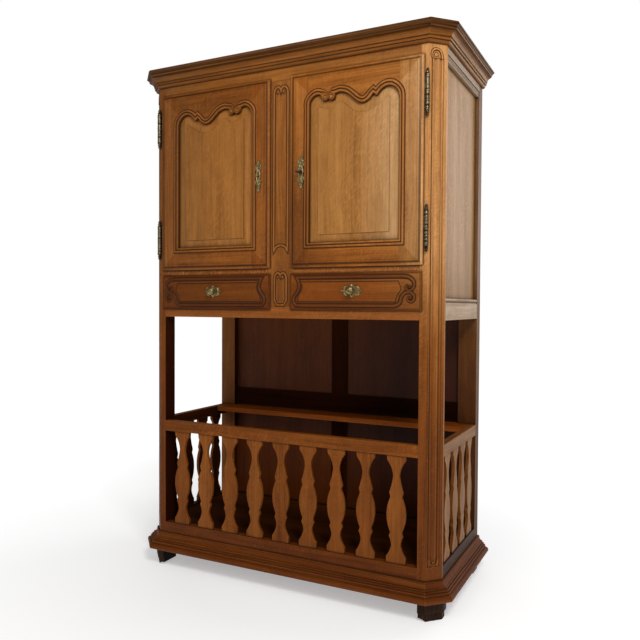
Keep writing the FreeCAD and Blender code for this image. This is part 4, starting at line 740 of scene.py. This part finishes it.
class Plane:
    """A flat carved face: u across it, v up it and h out of it."""

    def __init__(self, origin, across, outward, mirror=False):
        self.origin = Vector(origin)
        self.across = Vector(across)
        self.outward = Vector(outward)
        self.mirror = mirror

    def place(self, u, v, h):
        point = self.origin + self.across * u + Vector((0, 0, v)) + self.outward * h
        if self.mirror:
            point.x = -point.x
        return point * MM

    def out(self):
        """The way the face looks."""
        out = self.outward.copy()
        if self.mirror:
            out.x = -out.x
        return out


def circle(sides):
    """The cosine and sine of each corner round a circle."""
    turns = [2 * math.pi * k / sides for k in range(sides)]
    return [(math.cos(turn), math.sin(turn)) for turn in turns]


def rounded(points):
    """A smooth line through points (u, v, size)."""
    points = [np.array((*p, 1.0)[:3], float) for p in points]
    if len(points) == 2:
        length = float(np.linalg.norm((points[1] - points[0])[:2]))
        count = max(1, round(length / (STEP * STRAIGHT_STEPS)))
        return [points[0] + (points[1] - points[0]) * i / count for i in range(count + 1)]
    ends = [2 * points[0] - points[1], *points, 2 * points[-1] - points[-2]]
    line = []
    for a, b, c, d in zip(ends, ends[1:], ends[2:], ends[3:]):
        spans = [float(np.linalg.norm((q - p)[:2])) ** 0.5 for p, q in ((a, b), (b, c), (c, d))]
        enter = (b - a) / spans[0] - (c - a) / (spans[0] + spans[1]) + (c - b) / spans[1]
        leave = (c - b) / spans[1] - (d - b) / (spans[1] + spans[2]) + (d - c) / spans[2]
        enter, leave = enter * spans[1], leave * spans[1]
        count = max(2, round(float(np.linalg.norm((c - b)[:2])) / STEP))
        for i in range(count):
            t = i / count
            line.append(
                b * (2 * t**3 - 3 * t**2 + 1)
                + enter * (t**3 - 2 * t**2 + t)
                + c * (3 * t**2 - 2 * t**3)
                + leave * (t**3 - t**2)
            )
    line.append(points[-1])
    return line


def joined_line(runs, closed=False):
    """Runs of points, smooth within a run and mitred between runs."""
    line = []
    for run in runs:
        sampled = rounded(run)
        line += sampled if not line else sampled[1:]
    if closed:
        line = line[:-1]
    return np.array(line)


def left_normals(line, closed):
    """The mitred normal on the left of each point of a line."""
    flat = line[:, :2]
    ahead = np.roll(flat, -1, axis=0) - flat
    if not closed:
        ahead[-1] = ahead[-2]
    ahead /= np.linalg.norm(ahead, axis=1)[:, None]
    behind = np.roll(ahead, 1, axis=0)
    if not closed:
        behind[0] = ahead[0]
    tangent = ahead + behind
    tangent /= np.linalg.norm(tangent, axis=1)[:, None]
    stretch = 1.0 / np.maximum(np.sum(tangent * ahead, axis=1), LEAST_COSINE)
    return np.stack((-tangent[:, 1], tangent[:, 0]), axis=1) * stretch[:, None]


def distance_to_line(points, line, closed):
    starts = line[:, :2]
    ends = np.roll(starts, -1, axis=0)
    if not closed:
        starts, ends = starts[:-1], ends[:-1]
    run = ends - starts
    gap = points[:, None, :] - starts[None, :, :]
    share = np.clip(np.sum(gap * run, axis=2) / np.sum(run * run, axis=1), 0, 1)
    return np.min(np.linalg.norm(gap - share[..., None] * run, axis=2), axis=1)


def offset_line(line, normals, distance, closed):
    """The line moved sideways, with what would overlap drawn together."""
    moved = line[:, :2] + normals * (distance * line[:, 2])[:, None]
    reach = np.abs(distance) * line[:, 2]
    bad = distance_to_line(moved, line, closed) < reach - OVERLAP_SLACK
    if bad.all() or not bad.any():
        return moved
    count = len(line)
    first = int(np.argmin(bad)) if closed else 0
    order = [(first + i) % count for i in range(count)]
    i = 0
    while i < count:
        run = 0
        while i + run < count and bad[order[i + run]]:
            run += 1
        if run:
            ends = []
            if closed or i > 0:
                ends.append(moved[order[i - 1]])
            if closed or i + run < count:
                ends.append(moved[order[(i + run) % count]])
            moved[order[i:i + run]] = np.mean(ends, axis=0)
        i += run + 1
    return moved


def mesh_piece(name, shape, node, slot, grain="Z"):
    """A new piece from a shape in metres, on the body that carries a node."""
    mesh = bpy.data.meshes.new(name)
    mesh.from_pydata([tuple(v) for v in shape.verts], [], shape.faces)
    work = bmesh.new()
    work.from_mesh(mesh)
    layer = work.verts.layers.float.new("wax_and_shade")
    for vert, value in zip(work.verts, shape.wax_and_shade):
        vert[layer] = value
    bmesh.ops.remove_doubles(work, verts=work.verts, dist=JOIN_DISTANCE)
    bmesh.ops.dissolve_degenerate(work, edges=work.edges, dist=THINNEST)
    for face in work.faces:
        face.smooth = True
    work.to_mesh(mesh)
    work.free()
    mesh.set_sharp_from_angle(angle=math.radians(PIECE_SHARP_DEGREES))
    piece = bpy.data.objects.new(name, mesh)
    bpy.context.scene.collection.objects.link(piece)
    mesh.materials.append(material_for(slot, grain, node, name))
    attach(piece, BODY_OF[node])
    return piece


class Shape:
    """Points, faces and the wax and painted shade on each point, gathered for one piece."""

    def __init__(self):
        self.verts = []
        self.faces = []
        self.wax_and_shade = []

    def grid(self, rows, wax_and_shade, closed=False):
        """Join rows of points; rows[i][j] joins rows[i + 1][j]. Each row has
        its own wax and painted shade, and closed joins its end to its start."""
        start = len(self.verts)
        wide = len(rows[0])
        for row, value in zip(rows, wax_and_shade):
            self.verts += list(row)
            self.wax_and_shade += [value] * wide
        for i in range(len(rows) - 1):
            for j in range(wide if closed else wide - 1):
                a, b = start + i * wide + j, start + i * wide + (j + 1) % wide
                self.faces.append((a, b, b + wide, a + wide))

    def face_outward(self, outward, first_face):
        """Turn the faces so that on the whole they look outward."""
        total = 0.0
        for face in self.faces[first_face:]:
            a, b, c = (self.verts[k] for k in face[:3])
            total += (b - a).cross(c - a).dot(outward)
        if total < 0:
            for k in range(first_face, len(self.faces)):
                self.faces[k] = tuple(reversed(self.faces[k]))

    def bead(self, plane, runs, section, closed=False, fill=False):
        """Sweep a section of (offset to the left, height, wax and painted shade) along runs.
        fill closes the space inside the last offset with a flat face."""
        line = joined_line(runs, closed)
        normals = left_normals(line, closed)
        sizes = HEIGHT_LEFT + (1 - HEIGHT_LEFT) * line[:, 2]
        rows = []
        for offset, height, _ in section:
            moved = offset_line(line, normals, offset, closed)
            rows.append([plane.place(u, v, height * size) for (u, v), size in zip(moved, sizes)])
        before = len(self.faces)
        self.grid(rows, [wax_and_shade for _, _, wax_and_shade in section], closed)
        if fill:
            start = len(self.verts) - len(rows[-1])
            self.faces.append(tuple(range(start, len(self.verts))))
        self.face_outward(plane.out(), before)

    def button(self, plane, at, foot, ringed=False):
        """A domed button at (u, v, radius, height), its foot at h = foot."""
        u, v, radius, height = at
        profile = RINGED_BUTTON if ringed else PLAIN_BUTTON
        rows = []
        for share, lift, _ in profile:
            reach = radius * share
            h = foot if lift is None else lift * height
            rows.append([plane.place(u + reach * x, v + reach * y, h) for x, y in circle(BUTTON_SIDES)])
        before = len(self.faces)
        self.grid(rows, [wax_and_shade for _, _, wax_and_shade in profile], closed=True)
        self.face_outward(plane.out(), before)


# Carving of the doors, drawers and posts, in millimetres. A section lists the
# offset to the left, the height over the face and the wax and painted shade. A line's points are
# (across, up, size) and a button is (across, up, radius, height).
DOOR_SECTION = (
    (-22.6, -0.2, 0.4), (-21.8, 0.12, 1.0), (-18.6, 0.25, 1.0), (-17.7, 1.9, 0.25), (-15.8, 3.4, 0.0),
    (-13.6, 4.1, 0.0), (-11.9, 3.7, 0.0), (-10.9, 2.4, 0.2), (-10.2, 0.3, 1.0), (-7.4, 0.2, 1.0),
    (-6.7, 1.2, 0.1), (-4.8, 1.6, 0.0), (-2.6, 1.3, 0.0), (-1.2, 0.3, 0.1), (-0.3, -1.4, 0.3),
    (0.2, -4.5, 0.8), (0.4, -11.8, 1.0),
)
SMALL_SECTION = (
    (-9.2, -0.1, 0.4), (-8.4, 0.15, 1.0), (-5.5, 0.3, 1.0), (-4.6, 1.9, 0.1), (-2.8, 3.0, 0.0),
    (-0.4, 3.1, 0.0), (1.4, 2.2, 0.05), (2.4, 0.4, 1.0), (5.3, 0.2, 1.0), (6.1, 0.9, 0.1),
    (8.0, 0.9, 0.0), (8.8, -0.1, 0.6),
)
DRAWER_SECTION = (
    (-9.2, -0.1, 0.4), (-8.4, 0.15, 1.0), (-5.6, 0.3, 1.0), (-4.4, 2.8, 0.1), (-2.4, 4.4, 0.0),
    (0.0, 5.0, 0.0), (2.2, 4.4, 0.0), (3.9, 2.5, 0.1), (4.9, 0.4, 1.0), (8.4, 0.15, 1.0),
    (9.4, -0.1, 0.4),
)
FIELD_SECTION = (
    (-4.0, -0.1, 0.4), (-3.2, 0.12, 1.0), (-0.4, 0.15, 1.0), (0.4, 0.7, 0.1), (1.6, 0.8, 0.0),
)
SCROLL_SECTION = (
    (-6.2, -0.1, 0.4), (-5.6, 0.15, 1.0), (-3.2, 0.3, 1.0), (-2.6, 1.8, 0.15), (-1.2, 2.9, 0.0),
    (0.4, 3.0, 0.0), (1.8, 2.4, 0.05), (2.8, 0.5, 1.0), (5.4, 0.15, 1.0), (6.2, -0.1, 0.4),
)
# The sight edge of the right door, from one volute round to the other
DOOR_LINE = (
    (
        (191.5, 1761.0, 0.25), (188.0, 1765.5, 0.4), (182.5, 1767.8, 0.62), (174.0, 1768.2, 0.85),
        (165.5, 1766.8), (158.5, 1769.4), (151.0, 1770.6), (143.0, 1769.4), (135.0, 1765.0),
        (127.5, 1759.0), (122.0, 1751.0), (119.3, 1742.0), (119.0, 1728.0, 0.92),
    ),
    ((119.0, 1728.0, 0.92), (119.0, 1258.0)),
    ((119.0, 1258.0), (455.0, 1258.0)),
    ((455.0, 1258.0), (455.0, 1704.0)),
    (
        (455.0, 1704.0), (454.4, 1728.0), (451.0, 1742.5), (442.0, 1755.0), (428.5, 1764.8),
        (417.5, 1767.4), (406.0, 1766.3), (397.5, 1763.0), (390.0, 1758.0), (382.5, 1751.2),
        (373.4, 1740.4),
    ),
    ((373.4, 1740.4), (362.0, 1749.4)),
    (
        (362.0, 1749.4), (356.5, 1744.8), (345.6, 1733.0), (337.2, 1727.5), (328.9, 1724.2),
        (320.4, 1723.8), (313.8, 1725.5), (305.3, 1729.2), (296.7, 1735.0), (279.5, 1750.2),
        (262.2, 1763.4), (244.8, 1769.2), (236.1, 1770.1), (226.2, 1768.2), (216.7, 1766.4),
        (208.0, 1767.6, 0.85), (200.5, 1765.6, 0.5), (196.4, 1761.0, 0.35), (194.9, 1754.0, 0.25),
    ),
)
DOOR_VOLUTES = ((182.5, 1756.2, 10.5, 3.6), (206.7, 1756.5, 11.0, 3.6))
# The volutes stand on the panel, and other buttons a little below the face
VOLUTE_FOOT = -11.5
BUTTON_FOOT = -0.5

# The drawer's bead, from the upper volute round to the lower one
DRAWER_LINE = (
    (
        (490.0, 1108.0, 0.5), (484.0, 1103.0, 0.6), (484.5, 1094.0, 0.7), (493.0, 1089.0, 0.75),
        (504.0, 1093.0, 0.8), (511.0, 1105.0, 0.85), (508.0, 1121.0, 0.9), (493.0, 1132.5),
        (472.0, 1136.0),
    ),
    ((472.0, 1136.0), (74.0, 1136.0)),
    (
        (74.0, 1136.0), (80.5, 1124.0), (84.0, 1109.5), (82.0, 1095.4), (74.0, 1081.4), (64.5, 1069.6),
        (61.0, 1055.5), (64.0, 1046.5), (71.0, 1038.5),
    ),
    ((71.0, 1038.5), (440.0, 1038.5)),
    (
        (440.0, 1038.5), (454.0, 1042.5), (463.0, 1052.0), (467.0, 1067.0), (479.0, 1080.5, 0.9),
        (496.0, 1083.5, 0.85), (509.0, 1075.0, 0.8), (511.5, 1061.0, 0.75), (502.0, 1052.0, 0.7),
        (491.0, 1056.0, 0.6), (490.0, 1065.0, 0.55), (496.0, 1068.0, 0.5),
    ),
)
DRAWER_BUTTONS = ((496.5, 1100.5, 5.5, 5.2), (499.5, 1064.0, 6.0, 5.2))
DRAWER_FIELD = (
    ((455.0, 1119.0), (91.0, 1119.0)),
    ((91.0, 1119.0), (97.5, 1105.0), (92.8, 1088.0), (82.0, 1070.8), (78.5, 1052.5)),
    ((78.5, 1052.5), (444.0, 1052.5)),
    ((444.0, 1052.5), (451.0, 1074.0), (463.0, 1094.0), (455.0, 1119.0)),
)


def framed(half, foot):
    """A closed line from its right half, from the top down, and its foot."""
    left = [[(-u, v) for u, v in run] for run in half]
    right = [run[::-1] for run in half[::-1]]
    return (*left, foot, *right)


MUNTIN_LINE = framed(
    (
        (
            (0.0, 1799.0), (3.0, 1811.0), (9.0, 1818.5), (17.0, 1818.0), (23.5, 1811.0), (26.5, 1799.0),
            (27.0, 1780.0),
        ),
        ((27.0, 1780.0), (27.0, 1238.0)),
    ),
    (
        (-27.0, 1238.0), (-22.0, 1247.0), (-12.0, 1253.5), (0.0, 1255.5), (12.0, 1253.5), (22.0, 1247.0),
        (27.0, 1238.0),
    ),
)
CARTOUCHE_LINE = framed(
    (
        (
            (0.0, 1138.0), (2.5, 1147.0), (8.0, 1152.5), (15.0, 1151.5), (20.5, 1145.0), (23.0, 1134.0),
            (23.0, 1120.0),
        ),
        ((23.0, 1120.0), (23.0, 1058.0)),
        ((23.0, 1058.0), (14.0, 1041.0)),
    ),
    ((-14.0, 1041.0), (14.0, 1041.0)),
)
MUNTIN_BUTTONS = (
    (-11.5, 1803.0, 7.6, 5.4), (11.5, 1803.0, 7.6, 5.4),
    (-10.0, 1139.5, 6.4, 5.4), (10.0, 1139.5, 6.4, 5.4),
)

# The head and foot of the strip on a canted corner, across it from its front arris
CANT_HEAD = (
    (
        (45.5, 1838.0), (45.5, 1850.0), (41.0, 1862.0), (31.0, 1868.5), (20.0, 1868.0),
        (11.5, 1861.0, 0.9), (8.5, 1850.0, 0.75), (10.5, 1840.0, 0.6),
    ),
)
CANT_BUTTON = (23.5, 1850.0, 12.0, 3.4)
CANT_FOOT = (
    (
        (46.5, 204.0), (46.0, 192.0), (41.5, 184.5), (32.0, 181.5), (22.5, 184.5), (17.5, 192.0),
        (17.0, 204.0),
    ),
)
CANT_PEARL = (31.5, 192.5, 5.0, 1.6)
# The sideways size of the cant, and how deep its strip is sunk and its foot
# stands over that
CORNER_CANT = 45.0
CANT_SINK = 3.0
CANT_FOOT_RISE = 1.2


def front_plane(side, face):
    return Plane((0, face / MM, 0), (1, 0, 0), (0, -1, 0), mirror=side == "left")


def carve_doors():
    for side in ("left", "right"):
        plane = front_plane(side, DOOR_FACE)
        bead = Shape()
        bead.bead(plane, DOOR_LINE, DOOR_SECTION)
        mesh_piece(f"{side}_door_bead", bead, f"{side}_door_top_rail", "oak_frame")
        ends = Shape()
        for at in DOOR_VOLUTES:
            ends.button(plane, at, VOLUTE_FOOT, ringed=True)
        mesh_piece(f"{side}_door_volutes", ends, f"{side}_door_top_rail", "oak_frame")


def carve_drawers():
    for side in ("left", "right"):
        plane = front_plane(side, DRAWER_FACE)
        node = f"{side}_drawer_front"
        bead = Shape()
        bead.bead(plane, DRAWER_LINE, DRAWER_SECTION)
        for at in DRAWER_BUTTONS:
            bead.button(plane, at, BUTTON_FOOT, ringed=True)
        mesh_piece(f"{side}_drawer_bead", bead, node, "oak_frame", "X")
        field = Shape()
        field.bead(plane, DRAWER_FIELD, FIELD_SECTION, closed=True, fill=True)
        mesh_piece(f"{side}_drawer_field", field, node, "oak_frame", "X")


def carve_muntin():
    plane = front_plane("right", FRONT)
    bead = Shape()
    for line in (MUNTIN_LINE, CARTOUCHE_LINE):
        bead.bead(plane, line, SMALL_SECTION, closed=True)
    for at in MUNTIN_BUTTONS:
        bead.button(plane, at, BUTTON_FOOT, ringed=True)
    mesh_piece("muntin_carving", bead, "centre_muntin", "oak_frame")


def carve_corners():
    """The curled head and the foot of the strip on each canted corner."""
    root = math.sqrt(0.5)
    start = (HALF / MM - CORNER_CANT, FRONT / MM, 0)
    foot = [(offset, height - CANT_SINK + CANT_FOOT_RISE, wax_and_shade) for offset, height, wax_and_shade in SCROLL_SECTION]
    for side in ("left", "right"):
        plane = Plane(start, (root, root, 0), (root, -root, 0), mirror=side == "left")
        bead = Shape()
        bead.bead(plane, CANT_HEAD, SCROLL_SECTION)
        bead.button(plane, CANT_BUTTON, -CANT_SINK, ringed=True)
        bead.bead(plane, CANT_FOOT, foot)
        bead.button(plane, CANT_PEARL, -CANT_SINK)
        mesh_piece(f"{side}_corner_carving", bead, f"front_{side}_post", "oak_frame")


# Metal fittings: wires through (across, up, radius) and balls of (across, up,
# radius, height), in millimetres from the middle of each plate
WIRE_SIDES = 8
WIRE_RISE = 1.3
WIRE_FOOT = 1.5
BALL_FOOT = 0.2


def both(*line):
    """The mirror image of a wire on the right, and the wire."""
    return tuple((-u, v, size) for u, v, size in line), line


KNOB_WIRES = (
    ((-36.0, 0.0, 2.4), (-20.0, 0.0, 1.8)),
    ((20.0, 0.0, 1.8), (36.0, 0.0, 2.4)),
    *both((13.0, 18.5, 1.4), (20.0, 12.0, 2.6), (24.0, 0.0, 2.4), (20.0, -12.0, 2.6), (11.0, -19.5, 1.4)),
    ((0.0, 9.0, 3.4), (0.0, 17.0, 2.4), (0.0, 22.0, 1.0)),
    ((0.0, -9.0, 3.0), (0.0, -17.0, 2.2), (0.0, -22.0, 1.0)),
)
KNOB_BALLS = ((-38.0, 0.0, 3.6, 5.0), (38.0, 0.0, 3.6, 5.0))
LOCK_WIRES = (
    *both((4.5, -16.0, 1.2), (7.5, -4.0, 1.7), (6.5, 12.0, 1.7), (2.5, 24.0, 1.2)),
    *both((0.0, 18.0, 1.4), (4.5, 27.0, 2.0), (9.5, 36.0, 2.0), (7.0, 45.0, 1.6), (0.0, 42.0, 1.2)),
    ((-6.0, -12.0, 1.4), (1.0, -23.0, 2.1), (-3.0, -34.0, 2.1), (-9.0, -40.0, 1.4)),
    ((6.0, -12.0, 1.4), (3.0, -22.0, 1.6), (6.0, -32.0, 2.0), (10.0, -38.0, 1.4)),
    ((-6.0, -44.0, 1.2), (0.0, -40.0, 2.0), (6.0, -44.0, 1.2)),
)
LOCK_BALLS = (
    (0.0, 50.0, 3.4, 4.4), (0.0, -50.0, 3.8, 4.4), (-6.5, -25.0, 2.6, 4.4), (0.0, 33.0, 2.6, 4.4),
)
# Each fitting's piece, node, face, middle, wires and balls
FITTINGS = (
    ("knob_curls", "drawer_knob", DRAWER_FACE, (288.0, 1089.0), KNOB_WIRES, KNOB_BALLS),
    ("lock_curls", "escutcheon", DOOR_FACE, (88.0, 1506.0), LOCK_WIRES, LOCK_BALLS),
)
# Hinge rings as (distance from the hinge's middle, radius), and their profile
# as (share of half the ring's height, radius less this), where none is the barrel
HINGE_RINGS = ((4.0, 7.7), (15.0, 7.2), (26.0, 7.7), (37.0, 7.2), (49.0, 7.7))
RING_PROFILE = ((-1.0, None), (-0.9, 0.35), (-0.4, 0.0), (0.4, 0.0), (0.9, 0.35), (1.0, None))
RING_HALF = 2.4
RING_SIDES = 24
BARREL_RADIUS = 6.5
HINGE_MIDDLES = (1727.0, 1291.0)
HINGE_AXIS = (549.3, -252.0)


def wires(shape, plane, centre, lines):
    """Half-round wires on a plate's face."""
    for points in lines:
        line = joined_line([points])
        normals = left_normals(line, False)
        rows = []
        for k in range(WIRE_SIDES + 1):
            angle = math.pi * k / WIRE_SIDES
            aside, rise = math.cos(angle), math.sin(angle)
            row = []
            for (u, v, size), (across, up) in zip(line, normals):
                at = (centre[0] + u + across * aside * size, centre[1] + v + up * aside * size)
                row.append(plane.place(*at, WIRE_FOOT + rise * size * WIRE_RISE))
            rows.append(row)
        before = len(shape.faces)
        shape.grid(rows, [0.0] * len(rows))
        shape.face_outward(plane.out(), before)


def make_fittings():
    """Curled wires and balls on the drawer and lock plates."""
    for side in ("left", "right"):
        for name, node, face, centre, lines, balls in FITTINGS:
            plane = front_plane(side, face)
            plate = Shape()
            wires(plate, plane, centre, lines)
            for u, v, *size in balls:
                plate.button(plane, (centre[0] + u, centre[1] + v, *size), BALL_FOOT)
            mesh_piece(f"{side}_{name}", plate, f"{side}_{node}", "brass")


def ring(shape, x, middle, radius):
    """A ring round an upright barrel."""
    turns = circle(RING_SIDES)
    rows = []
    for share, less in RING_PROFILE:
        out = BARREL_RADIUS if less is None else radius - less
        height = middle + share * RING_HALF
        rows.append([Vector((x + out * a, HINGE_AXIS[1] + out * b, height)) * MM for a, b in turns])
    shape.grid(rows, [0.0] * len(rows), closed=True)


def make_hinge_rings():
    """Turned rings round the barrels, those of the door above, of the post below."""
    for side, sign in (("left", -1.0), ("right", 1.0)):
        for half, way in (("door", 1.0), ("post", -1.0)):
            rings = Shape()
            for middle in HINGE_MIDDLES:
                for lift, radius in HINGE_RINGS:
                    ring(rings, sign * HINGE_AXIS[0], middle + way * lift, radius)
            mesh_piece(f"{side}_{half}_hinge_rings", rings, f"{side}_{half}_hinge_halves", "bronze")


make_camera()
make_light()
make_floor()
dress_frame()
carve_doors()
carve_drawers()
carve_muntin()
carve_corners()
make_fittings()
make_hinge_rings()
